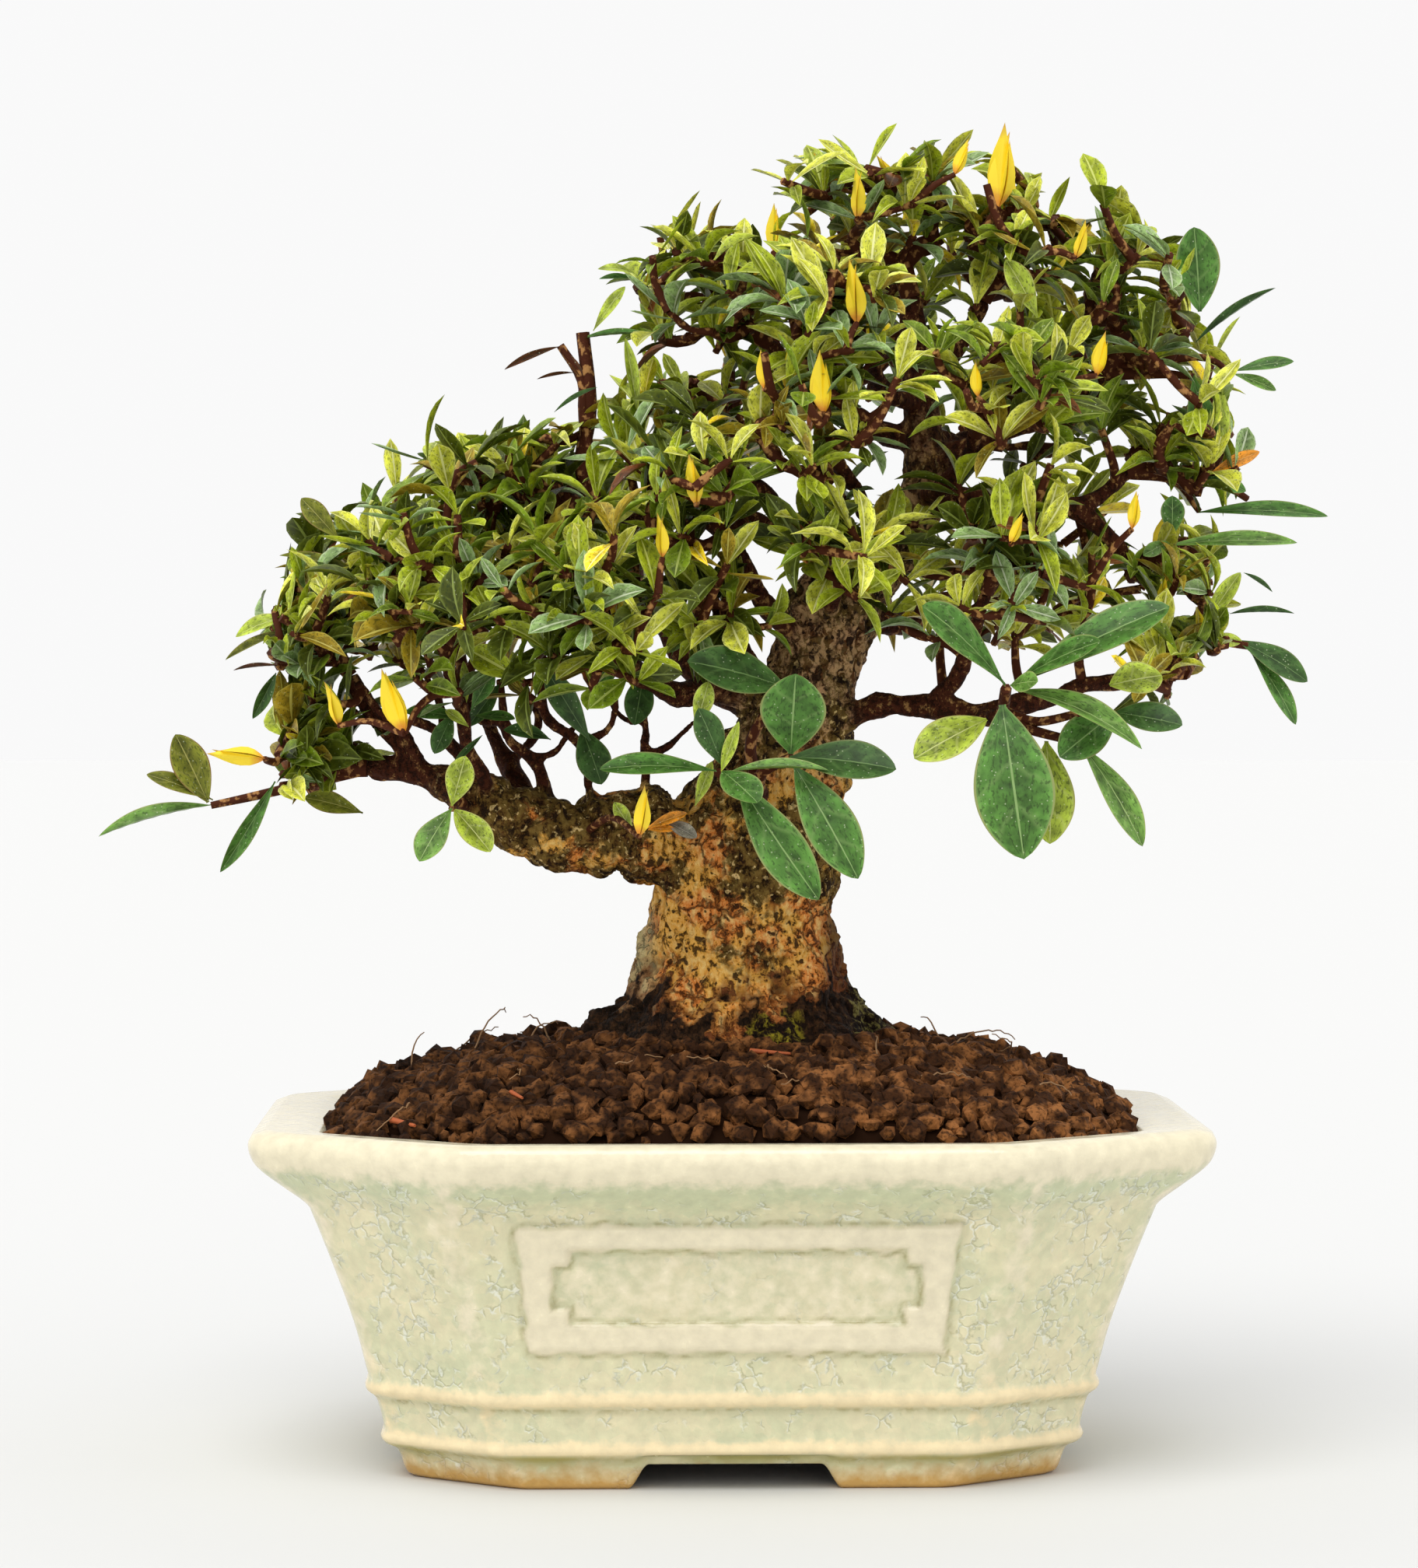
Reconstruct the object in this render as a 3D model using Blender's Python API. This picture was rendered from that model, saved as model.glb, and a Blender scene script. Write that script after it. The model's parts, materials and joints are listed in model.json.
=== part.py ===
"""Azalea bonsai in an eight-sided glazed pot, as separate closed solids.

Lengths are in millimetres until a mesh is made, and in Blender's metres from there on.
+X is the viewer's right, +Y is away from the viewer, +Z is up, and the pot stands on z = 0.
"""

import math
import random
from collections import namedtuple

import bmesh
import bpy
import numpy as np
from mathutils import Matrix, Vector, noise

MM = 0.001
GAP = 0.3            # air between two neighbouring solids
SEED = 11

# Pot: a rectangle with cut corners at every height
POT_HEIGHT = 58.0
POT_DEPTH_RATIO = 0.75      # front-to-back size over width
POT_CUT_RATIO = 0.72        # a cut corner's run in Y over its run in X
POT_OUTSIDE = (             # height, half width, half length of the front flat
    (0.0, 54.2, 35.4), (3.9, 55.6, 36.3), (5.0, 56.8, 37.3), (5.8, 58.0, 38.3), (6.8, 58.3, 38.5),
    (7.7, 57.6, 38.2), (10.5, 58.3, 38.7), (13.7, 59.3, 39.4), (14.7, 60.7, 40.2), (15.7, 61.0, 40.4),
    (16.7, 60.2, 40.2), (26.0, 62.7, 42.0), (35.5, 66.0, 44.2), (43.8, 69.2, 46.0),
    (46.0, 70.4, 46.2), (48.6, 74.0, 46.0), (50.9, 77.3, 45.4), (52.8, 79.2, 45.0),
    (55.4, 80.0, 44.8), (57.2, 79.3, 44.5), (POT_HEIGHT, 77.6, 44.0),
)
POT_INSIDE = (              # the same, from the lip down to the floor
    (POT_HEIGHT, 68.2, 40.5), (57.3, 67.2, 40.0), (52.0, 66.2, 39.5), (13.0, 52.0, 32.5), (10.0, 48.5, 30.5),
)
FOOT_RECESS = (46.0, 33.0, 3.4)         # half width, half depth and height of the hollow under the pot
FOOT_RECESS_CORNER = 14.0
FOOT_ARCH_HEIGHT = 4.0
FOOT_ARCH_FRONT = (17.3, 14.3)          # half widths of the front arch, at the table and at its top
FOOT_ARCH_SIDE = (12.5, 10.0)
DRAIN_RADIUS = 6.0
DRAIN_X = 24.0
CUTTER_MARGIN = 2.0                     # how far a cutter stands out of what it cuts
PANEL_LOW, PANEL_HIGH = 23.2, 44.3      # heights of the raised frame's edges
PANEL_HALF_LOW, PANEL_HALF_HIGH = 33.5, 35.7
PANEL_PROUD = 0.9
PANEL_THICK = 3.0                       # of the slab, mostly sunk in the wall
RECESS_LOW, RECESS_HIGH = 28.0, 40.3    # heights of the sunk field's edges
RECESS_HALF = 29.7
RECESS_NOTCH = 2.6
RECESS_DEPTH = 1.2

# Soil: filled to the lip and heaped to a flat top under the trunk
SOIL_TOP = 70.2
SOIL_TOP_HALF = (31.0, 27.0)
SOIL_EDGE_STEPS = 3         # pieces in each of the eight sides
SOIL_RINGS = 5
SOIL_LUMP = 1.5             # rise and fall of the heap
SOIL_LUMP_SIZE = 14.0       # from one rise to the next

# Trunk: centre line and half width
GROUND = SOIL_TOP + GAP
TRUNK_ROUTE = (             # x, y, z, radius
    (2.2, 0.0, GROUND, 21.5), (2.4, 0.0, 76.0, 18.2), (2.6, 0.0, 83.0, 16.5), (2.6, -0.5, 92.4, 15.2),
    (4.0, -1.0, 101.0, 15.6), (7.0, -1.5, 110.0, 13.4), (10.6, -1.5, 120.0, 10.6), (13.4, -1.0, 130.0, 8.6),
    (16.2, -0.5, 137.5, 8.0), (18.0, -0.4, 143.5, 8.3), (22.0, 0.0, 149.0, 6.9), (27.5, 0.6, 154.0, 5.4),
    (31.8, 1.0, 160.0, 4.5), (33.8, 1.0, 166.0, 3.9), (33.2, 0.5, 176.0, 3.2), (32.0, 0.0, 187.0, 2.5),
    (31.2, 0.0, 197.0, 1.9),
)
TRUNK_SIDES = 14
TRUNK_DEPTH = 0.9           # front-to-back size over width
ROOTS = (                   # degrees round the foot, swell of the radius at the ground, height it fades over
    (8.0, 0.36, 7.5), (62.0, 0.36, 7.5), (128.0, 0.36, 7.5), (186.0, 0.40, 12.0), (238.0, 0.34, 9.0),
    (304.0, 0.36, 7.5),
)
ROOT_SHARPNESS = 11.0

# Limbs: the boughs that show have a route, the others curve from their root to their foliage
LUMP = 0.07                 # rise and fall of the bark, of the radius
LUMP_SIZE = 9.0             # from one knob to the next
TRUNK_SPACING = 6.0         # between rings
BOUGH_SPACING = 7.0
CUT_CLEARANCE = 0.4         # a bough's root is cut back this far from the limb that carries it
BOUGH_SIDES = 5
THICK_BOUGH = 5.0           # a bough of more than this radius has two more sides
BOUGH_SAG = 0.12            # of its length, at the middle of a bough with no route of its own
BOUGH_ENTRY = 0.72          # where such a bough ends, from its mass's centre to its outline

# Foliage: shoots with a rosette of leaves each
STEM_SIDES = 5
STEM_LENGTH = 6.0           # at most, from the bough's tip to the first joint
TWIG_SIDES = 3
TWIG_RADIUS = 0.9           # at a shoot's tip
TWIG_GAIN = 0.10            # added for the root of the number of shoots carried
LEAF = 17.0                 # length, larger than life so that fewer fill the crown
LEAF_INSET = 0.42           # of a leaf's length, from a shoot's tip to the mass's outline
LEAF_WIDTH = 0.48           # of its length
SPUR_LEAF_WIDTH = 0.46
LEAF_THICK = 0.055          # of its length
LEAF_DROOP = 0.06           # of its length, at the tip
LEAF_ROOT = 0.35            # how far a leaf's root is sunk past the twig's middle
LEAF_PITCH = 1.5            # spacing of a rosette's leaves along the shoot
LEAF_AIR = 0.4              # a leaf keeps this far from the twigs and leaves beside it
LEAF_STALK = 2.5            # this near its root a leaf may touch the leaves beside it
LEAVES_A_SHOOT = 4
SHOOT_TRIES = 60            # places tried for each shoot
SHOOT_MARGIN = 2.5          # a shoot's tip keeps this far from limbs and walls
SHOOT_LIFT = 0.12           # how much a higher place counts beside a roomier one
FIRST_SHOOT_ROOM = 20.0
GOLDEN_ANGLE = math.radians(137.5)
CELL_MARGIN = 0.25          # foliage keeps this far from the wall between two masses
TWIG_SAG = 0.07             # of a twig's length
TWIG_MARGIN = 1.5           # a twig's middle keeps this far from limbs and walls
LIMB_MARGIN = 0.45          # and this far from limbs that aren't its own
OUTLINE_LIMIT = (105.5, 59.0, 226.8)    # no ordinary leaf goes past these, in X, Y and Z

Bough = namedtuple("Bough", "name parent root radius tip_radius centre reach shoots leaf")
BOUGHS = (
    # low left side
    Bough("low_left", "trunk", (-2, -2, 101), 10.4, 1.8, (-80, -3, 118), (24, 15, 14), 4, 16),
    Bough("left_outer", "low_left", (-46, -7, 114), 1.7, 1.3, (-72, -2, 140), (15, 24, 14.5), 4, LEAF),
    Bough("left_front", "low_left", (-38, -8, 110), 1.7, 1.3, (-50, -26, 146), (17, 22, 15), 5, LEAF),
    Bough("left_back", "low_left", (-29, -7, 106), 2.0, 1.3, (-54, 24, 150), (18, 22, 16), 4, LEAF),
    Bough("left_spur", "low_left", (-44, -7, 113), 1.5, 1.0, (-46, -24, 110), (10, 10, 10), 1, 8),
    # middle of the left side
    Bough("left_middle", "trunk", (10, -2, 127), 3.4, 1.5, (-26, -32, 143), (15, 19, 16), 4, LEAF),
    Bough("middle_low", "trunk", (13, -1, 129), 1.9, 1.1, (-4, -20, 142), (11, 16, 11), 3, LEAF),
    Bough("middle_front", "trunk", (18, -1, 143), 2.0, 1.1, (17, -27, 154), (15, 17, 11), 3, LEAF),
    Bough("left_upper", "trunk", (28, 0, 152), 3.0, 1.5, (-37, -4, 162), (17, 22, 15), 5, LEAF),
    Bough("back_left", "trunk", (12, 0, 124), 3.4, 1.4, (-24, 28, 153), (17, 20, 17), 4, LEAF),
    Bough("front_left", "trunk", (17, 0, 138), 2.6, 1.3, (-7, -27, 162), (15, 20, 15), 4, LEAF),
    Bough("back_centre", "trunk", (27, 1, 150), 2.8, 1.3, (-5, 28, 175), (18, 22, 18), 4, LEAF),
    Bough("front_high", "trunk", (30, 0, 157), 2.4, 1.2, (13, -32, 172), (15, 18, 15), 4, LEAF),
    # top
    Bough("top_left", "trunk", (33.5, 0, 173), 2.3, 1.3, (-4, -5, 196), (18, 26, 16), 5, LEAF),
    Bough("top_front", "trunk", (33.3, 0, 178), 2.0, 1.2, (16, -30, 190), (16, 19, 16), 5, LEAF),
    Bough("top_back", "trunk", (32.5, 0, 184), 2.0, 1.2, (24, 33, 198), (19, 20, 18), 4, LEAF),
    Bough("top_right", "trunk", (33, 0, 181), 2.0, 1.2, (50, -2, 206), (16, 26, 16), 5, LEAF),
    # right side
    Bough("right_top", "trunk", (33.7, 0, 168), 2.5, 1.4, (71, 0, 196), (16, 26, 18), 5, LEAF),
    Bough("right_middle", "trunk", (32, 0, 160), 2.4, 1.3, (79, 2, 147), (18, 22, 15), 4, LEAF),
    Bough("right_outer", "right_middle", (57, -2, 162), 1.7, 1.2, (79, 4, 172), (16, 26, 15), 4, LEAF),
    Bough("right_front", "trunk", (33.7, 0, 164), 2.2, 1.2, (45, -31, 178), (16, 19, 15), 5, LEAF),
    Bough("right_back", "trunk", (33.5, 0, 171), 2.4, 1.3, (57, 32, 183), (19, 21, 19), 4, LEAF),
    Bough("low_back", "trunk", (21, 0, 141), 2.8, 1.3, (55, 31, 150), (19, 21, 16), 4, LEAF),
    Bough("low_right", "trunk", (12, -2, 125), 2.6, 1.4, (82, -12, 133), (19, 14, 13), 4, LEAF),
    Bough("low_front", "low_right", (33, -10, 128), 1.5, 1.1, (46, -27, 154), (14, 18, 13), 4, LEAF),
    Bough("right_spur", "low_right", (43, -14, 126), 1.6, 1.2, (47, -37, 127), (27, 17, 26), 1, 22),
    Bough("front_spur", "trunk", (4, -2, 111), 1.9, 1.2, (2, -36, 116), (27, 16, 24), 2, 19),
)
APEX = Bough("apex", "trunk", None, None, None, (25, 0, 211), (19, 25, 16), 4, LEAF)

ROUTES = {
    "low_left": ((-2, -2, 101), (-9, -4, 102.8), (-18, -6, 106), (-28, -8, 105.6), (-37, -8, 109),
                 (-45, -7, 113), (-53, -5, 116.5), (-61, -4, 117)),
    "left_middle": ((10, -2, 127), (2, -4, 130), (-9, -9, 129.5), (-16, -15, 133), (-20, -21, 137)),
    "left_upper": ((26, 0.5, 152.5), (14, -8, 154.7), (3, -11, 158), (-11, -11, 160), (-23, -8, 160.5)),
    "right_top": ((33.7, 0, 168), (40, -1, 171), (47, -1, 173.5), (55, -1, 178), (64, 0, 184)),
    "right_middle": ((31.8, 1, 160), (38, -1, 163), (50, -2, 163), (59, -2, 160.7), (65, -1, 156.5),
                     (69, 0, 150)),
    "low_right": ((12, -2, 125), (21, -6, 126.4), (32, -10, 127.6), (42.5, -14, 126.4), (52, -15, 128.4),
                  (62, -14, 131), (70, -13, 132.5)),
}

# Thickness of a bough that doesn't taper evenly: share of its length, radius
TAPERS = {"low_left": ((0.0, 0.12, 0.3, 0.5, 0.66, 0.78, 1.0), (10.4, 8.8, 6.8, 5.8, 4.6, 3.2, 1.8))}

# Young shoots with large leaves: the shoot's tip, then each leaf's angle in the view plane,
# lean towards the viewer and length
SPURS = {
    "right_spur": (((44.5, -35, 130.5), ((128, 0.5, 20), (38, 0.35, 27), (14, 0.3, 21), (-8, 0.1, 20),
                                         (-52, 0.1, 24), (-86, 0.25, 27), (-100, -0.3, 20),
                                         (-145, 0.2, 15), (75, -0.2, 17))),),
    "front_spur": (((-0.5, -31, 117.5), ((172, 0.3, 18), (112, 0.2, 11), (62, 0.4, 12), (-48, 0.25, 23),
                                         (-28, 0.1, 20), (-90, 0.6, 8), (-150, 0.2, 9))),
                   ((9.5, -32, 124), ((88, 0.15, 13), (-10, 0.25, 17), (140, 0.2, 20)))),
    "left_spur": (((-43.5, -21, 112), ((105, 0.3, 9), (-125, 0.3, 9), (-20, 0.5, 8))),),
}
END_LEAF_WIDTH = 4.5
# Leaves that reach the outline's furthest points: owner, root, tip
END_LEAVES = (
    ("low_left", (-93, -4, 115), (-106.8, -4, 105.7)),
    ("left_upper", (-27, -1, 186), (-38.5, -1, 184.5)),
    ("right_outer", (90, 7, 163), (106.8, 8, 161.6)),
    ("apex", (38, 0, 214), (44, 0, 227.6)),
)

COLOURS = {
    "celadon": ((0.70, 0.71, 0.52), 0.25),
    "soil": ((0.085, 0.042, 0.022), 0.95),
    "bark": ((0.27, 0.15, 0.065), 0.90),
    "leaf": ((0.13, 0.24, 0.045), 0.55),
}


def clear_scene():
    """Remove what the file opened with."""
    for thing in list(bpy.data.objects):
        bpy.data.objects.remove(thing, do_unlink=True)


def new_collection(name):
    """A collection linked to the scene."""
    collection = bpy.data.collections.new(name)
    bpy.context.scene.collection.children.link(collection)
    return collection


def new_material(name, kind):
    """A Principled BSDF material of its own for one part."""
    colour, roughness = COLOURS[kind]
    material = bpy.data.materials.new(name)
    material.use_nodes = True
    shader = material.node_tree.nodes["Principled BSDF"]
    shader.inputs["Base Color"].default_value = (*colour, 1.0)
    shader.inputs["Roughness"].default_value = roughness
    shader.inputs["Metallic"].default_value = 0.0
    return material


def object_from(bm, name, collection, kind=None):
    """An object from a bmesh in millimetres, with its own material and smooth shading."""
    bmesh.ops.scale(bm, vec=(MM, MM, MM), verts=bm.verts)
    mesh = bpy.data.meshes.new(name)
    bm.to_mesh(mesh)
    bm.free()
    thing = bpy.data.objects.new(name, mesh)
    collection.objects.link(thing)
    if kind:
        mesh.materials.append(new_material(name + "_" + kind, kind))
        mesh.shade_smooth()
        mesh.set_sharp_from_angle(angle=math.radians(40))
    else:
        thing.hide_render = True
        thing.display_type = "WIRE"
    return thing


def loft(bm, sections):
    """A closed skin through sections that have equally many points, listed anticlockwise from above."""
    rings = [[bm.verts.new(point) for point in section] for section in sections]
    for low, high in zip(rings, rings[1:]):
        count = len(low)
        for i in range(count):
            j = (i + 1) % count
            bm.faces.new((low[i], low[j], high[j], high[i]))
    bm.faces.new(reversed(rings[0]))
    bm.faces.new(rings[-1])
    bmesh.ops.triangulate(bm, faces=bm.faces, quad_method="FIXED")


def boolean(thing, other, operation, solver="EXACT"):
    """A Boolean modifier with one object."""
    modifier = thing.modifiers.new(operation.title(), "BOOLEAN")
    modifier.operation = operation
    modifier.object = other
    modifier.solver = solver


def cut_corner_outline(height, half, flat, shrink=0.0):
    """Eight points of the pot's section at one height."""
    half_y = half * POT_DEPTH_RATIO - shrink
    run_y = (half - flat) * POT_CUT_RATIO
    half_x = half - shrink
    flat_y = half_y - run_y
    corners = ((half_x, flat_y), (flat, half_y), (-flat, half_y), (-half_x, flat_y),
               (-half_x, -flat_y), (-flat, -half_y), (flat, -half_y), (half_x, -flat_y))
    return [Vector((x, y, height)) for x, y in corners]


def wall_y(height):
    """How far the pot's front stands from the middle at a height."""
    for (z0, half0, _), (z1, half1, _) in zip(POT_OUTSIDE, POT_OUTSIDE[1:]):
        if z0 <= height <= z1:
            share = (height - z0) / (z1 - z0)
            return (half0 + (half1 - half0) * share) * POT_DEPTH_RATIO
    return POT_OUTSIDE[-1][1] * POT_DEPTH_RATIO


def slab(bm, outline, thickness):
    """Extrude a flat outline, given in X and Z, along +Y by a thickness."""
    front = [bm.verts.new((x, 0.0, z)) for x, z in outline]
    face = bm.faces.new(front)
    if face.normal.y > 0:
        face.normal_flip()
    made = bmesh.ops.extrude_face_region(bm, geom=[face])
    back = [part for part in made["geom"] if isinstance(part, bmesh.types.BMVert)]
    bmesh.ops.translate(bm, vec=(0.0, thickness, 0.0), verts=back)
    bmesh.ops.recalc_face_normals(bm, faces=bm.faces)


def lean_on_wall(bm, side, outward):
    """Tilt a slab that stands on y = 0 to the pot's wall, and push it outward by a distance."""
    lean = math.atan2(wall_y(PANEL_HIGH) - wall_y(PANEL_LOW), PANEL_HIGH - PANEL_LOW)
    middle = 0.5 * (PANEL_LOW + PANEL_HIGH)
    seat = 0.5 * (wall_y(PANEL_LOW) + wall_y(PANEL_HIGH)) + outward
    place = (Matrix.Translation((0.0, -seat, middle)) @ Matrix.Rotation(lean, 4, "X")
             @ Matrix.Translation((0.0, 0.0, -middle)))
    if side == "back":
        place = Matrix.Rotation(math.pi, 4, "Z") @ place
    bmesh.ops.transform(bm, matrix=place, verts=bm.verts)


def notched_outline():
    """The sunk field's outline, with a step out of each corner."""
    outline = []
    for right, top in ((1, 0), (1, 1), (0, 1), (0, 0)):
        x = RECESS_HALF * (1 if right else -1)
        z = RECESS_HIGH if top else RECESS_LOW
        step_x = -RECESS_NOTCH * (1 if right else -1)
        step_z = -RECESS_NOTCH * (1 if top else -1)
        corner = [(x + step_x, z), (x + step_x, z + step_z), (x, z + step_z)]
        outline += corner if right != top else corner[::-1]
    return outline


def arch_outline(half_low, half_high):
    """Outline of the opening between two feet, wider at the table."""
    return [(-half_low, -1.0), (half_low, -1.0), (half_low, 0.0), (half_high, FOOT_ARCH_HEIGHT),
            (-half_high, FOOT_ARCH_HEIGHT), (-half_low, 0.0)]


def make_pot(parts, cutters):
    """The glazed pot: a lofted body with panels, arches between the feet and two drain holes."""
    bm = bmesh.new()
    sections = [cut_corner_outline(*row) for row in POT_OUTSIDE + POT_INSIDE]
    loft(bm, sections)
    pot = object_from(bm, "pot", parts, "celadon")

    for side in ("front", "back"):
        bm = bmesh.new()
        slab(bm, [(-PANEL_HALF_LOW, PANEL_LOW), (PANEL_HALF_LOW, PANEL_LOW),
                  (PANEL_HALF_HIGH, PANEL_HIGH), (-PANEL_HALF_HIGH, PANEL_HIGH)], PANEL_THICK)
        lean_on_wall(bm, side, PANEL_PROUD)
        boolean(pot, object_from(bm, "panel_" + side, cutters), "UNION")
        bm = bmesh.new()
        slab(bm, notched_outline(), CUTTER_MARGIN + RECESS_DEPTH)
        lean_on_wall(bm, side, PANEL_PROUD + CUTTER_MARGIN)
        boolean(pot, object_from(bm, "recess_" + side, cutters), "DIFFERENCE")

    bm = bmesh.new()
    half_x, half_y, height = FOOT_RECESS
    box = bmesh.ops.create_cube(bm, size=1.0)
    bmesh.ops.scale(bm, vec=(2 * half_x, 2 * half_y, 2 * height), verts=box["verts"])
    upright = [edge for edge in bm.edges if abs(edge.verts[0].co.z - edge.verts[1].co.z) > height]
    bmesh.ops.bevel(bm, geom=upright, offset=FOOT_RECESS_CORNER, segments=1, affect="EDGES",
                    profile=0.5, material=-1)
    boolean(pot, object_from(bm, "recess_under", cutters), "DIFFERENCE")

    for name, halves, length, turn in (("front", FOOT_ARCH_FRONT, 100.0, 0.0),
                                       ("side", FOOT_ARCH_SIDE, 130.0, math.pi / 2)):
        bm = bmesh.new()
        slab(bm, arch_outline(*halves), length)
        bmesh.ops.translate(bm, vec=(0.0, -length / 2, 0.0), verts=bm.verts)
        bmesh.ops.rotate(bm, matrix=Matrix.Rotation(turn, 3, "Z"), verts=bm.verts)
        boolean(pot, object_from(bm, "arch_" + name, cutters), "DIFFERENCE")

    for name, x in (("left", -DRAIN_X), ("right", DRAIN_X)):
        bm = bmesh.new()
        bmesh.ops.create_cone(bm, segments=16, radius1=DRAIN_RADIUS, radius2=DRAIN_RADIUS, depth=20.0,
                              cap_ends=True, matrix=Matrix.Translation((x, 0.0, 8.0)))
        boolean(pot, object_from(bm, "drain_" + name, cutters), "DIFFERENCE")


def subdivided(outline, steps):
    """The same outline with each side in equal steps."""
    points = []
    for a, b in zip(outline, outline[1:] + outline[:1]):
        points += [a.lerp(b, step / steps) for step in range(steps)]
    return points


def make_soil(parts):
    """The potting granules as one solid: the pot's filling and a heap up to the trunk's foot."""
    inside = list(reversed(POT_INSIDE))
    sections = []
    for height, half, flat in inside:
        lift = GAP + 0.1 if height == inside[0][0] else 0.0
        outline = cut_corner_outline(height + lift, half - 0.6 * lift, flat, shrink=GAP + 0.1)
        sections.append(subdivided(outline, SOIL_EDGE_STEPS))
    rim = sections[-1]
    for ring in range(1, SOIL_RINGS + 1):
        share = ring / SOIL_RINGS
        height = POT_HEIGHT + (SOIL_TOP - POT_HEIGHT) * (1.0 - (1.0 - share) ** 2.2)
        section = []
        for point in rim:
            angle = math.atan2(point.y * SOIL_TOP_HALF[0], point.x * SOIL_TOP_HALF[1])
            inner = Vector((SOIL_TOP_HALF[0] * math.cos(angle), SOIL_TOP_HALF[1] * math.sin(angle), 0.0))
            place = point.lerp(inner, share)
            place.z = height
            if ring < SOIL_RINGS:
                place.z += SOIL_LUMP * noise.noise(place / SOIL_LUMP_SIZE)
            section.append(place)
        sections.append(section)
    bm = bmesh.new()
    loft(bm, sections)
    object_from(bm, "soil", parts, "soil")


def smooth_route(points, spacing):
    """Points of a Catmull-Rom curve through the route's points, about one spacing apart."""
    route = [Vector(point) for point in points]
    ends = [route[0] * 2 - route[1]] + route + [route[-1] * 2 - route[-2]]
    fine = []
    for p0, p1, p2, p3 in zip(ends, ends[1:], ends[2:], ends[3:]):
        steps = max(1, round((p2 - p1).length / spacing))
        for step in range(steps):
            t = step / steps
            fine.append(0.5 * (2 * p1 + (p2 - p0) * t + (2 * p0 - 5 * p1 + 4 * p2 - p3) * t * t
                               + (3 * p1 - p0 - 3 * p2 + p3) * t * t * t))
    fine.append(route[-1])
    return fine


class Limb:
    """A trunk or bough: a centre line, a radius at each point of it, and a number of sides."""

    def __init__(self, name, line, radii, sides):
        self.name = name
        self.line = line
        self.radii = radii
        self.sides = sides
        self.arrow = (line[-1] - line[-2]).normalized()

    def nearest(self, point):
        """The centre-line point nearest to a place."""
        return min(self.line, key=lambda place: (place - point).length)

    def sections(self, extra):
        """Rings round the centre line, each square to it, swollen by an extra thickness."""
        tangents = [(b - a).normalized() for a, b in zip(self.line, self.line[1:])]
        tangents.append(tangents[-1])
        if self.name == "trunk":
            tangents[0] = Vector((0.0, 0.0, 1.0))
        side = tangents[0].orthogonal().normalized()
        if self.name == "trunk":
            side = Vector((1.0, 0.0, 0.0))
        rings = []
        for place, radius, tangent in zip(self.line, self.radii, tangents):
            side = (side - tangent * side.dot(tangent)).normalized()
            other = tangent.cross(side)
            ring = []
            for i in range(self.sides):
                angle = 2 * math.pi * i / self.sides
                arrow = side * math.cos(angle) + other * math.sin(angle)
                if self.name == "trunk":
                    arrow.y *= TRUNK_DEPTH
                lump = noise.noise((place + arrow * radius) / LUMP_SIZE) * LUMP * 2
                swell = root_swell(angle, place.z) if self.name == "trunk" else 0.0
                ring.append(place + arrow * (radius * (1 + lump + swell) + extra))
            rings.append(ring)
        return rings

    def build(self, name, collection, kind=None, extra=0.0):
        """Make the limb's object, or a swollen copy of it that cuts another limb back."""
        bm = bmesh.new()
        rings = self.sections(extra)
        if extra:
            rings[0] = [point - Vector((0.0, 0.0, extra)) for point in rings[0]]
        loft(bm, rings)
        return object_from(bm, name, collection, kind)


def root_swell(angle, height):
    """How far a root swells the trunk's foot, as a share of its radius."""
    return max(swell * math.exp(-(height - GROUND) / fade
                                - (1.0 - math.cos(angle - math.radians(root))) * ROOT_SHARPNESS)
               for root, swell, fade in ROOTS)


def make_trunk(parts):
    """The trunk, flat at the ground, up to the tip of its leader."""
    line = smooth_route([row[:3] for row in TRUNK_ROUTE], TRUNK_SPACING)
    heights = [row[2] for row in TRUNK_ROUTE]
    sizes = [row[3] for row in TRUNK_ROUTE]
    radii = [float(np.interp(place.z, heights, sizes)) for place in line]
    trunk = Limb("trunk", line, radii, TRUNK_SIDES)
    trunk.build("trunk", parts, "bark")
    return trunk


def bough_line(row, parent):
    """Centre line of a bough from the middle of its parent into its foliage."""
    if row.name in ROUTES:
        return smooth_route(ROUTES[row.name], BOUGH_SPACING)
    start = parent.nearest(Vector(row.root))
    centre, reach = Vector(row.centre), Vector(row.reach)
    back = start - centre
    inside = math.sqrt(sum((back[i] / reach[i]) ** 2 for i in range(3)))
    end = centre + back * (BOUGH_ENTRY / inside)
    bend = start.lerp(end, 0.5)
    bend.z -= BOUGH_SAG * (end - start).length
    return smooth_route([start, bend, end], BOUGH_SPACING)


def make_bough(row, limbs, parts, cutters):
    """One tapering bough, its root cut to the surface of the limb that carries it."""
    parent = limbs[row.parent]
    line = bough_line(row, parent)
    count = len(line) - 1
    radii = [row.radius + (row.tip_radius - row.radius) * (i / count) ** 0.8 for i in range(count + 1)]
    if row.name in TAPERS:
        radii = [float(np.interp(i / count, *TAPERS[row.name])) for i in range(count + 1)]
    sides = BOUGH_SIDES + 2 if row.radius > THICK_BOUGH else BOUGH_SIDES
    bough = Limb(row.name, line, radii, sides)
    thing = bough.build("bough_" + row.name, parts, "bark")
    cutter = parent.build("clear_" + row.parent + "_for_" + row.name, cutters, extra=CUT_CLEARANCE)
    boolean(thing, cutter, "DIFFERENCE")
    limbs[row.name] = bough


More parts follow.
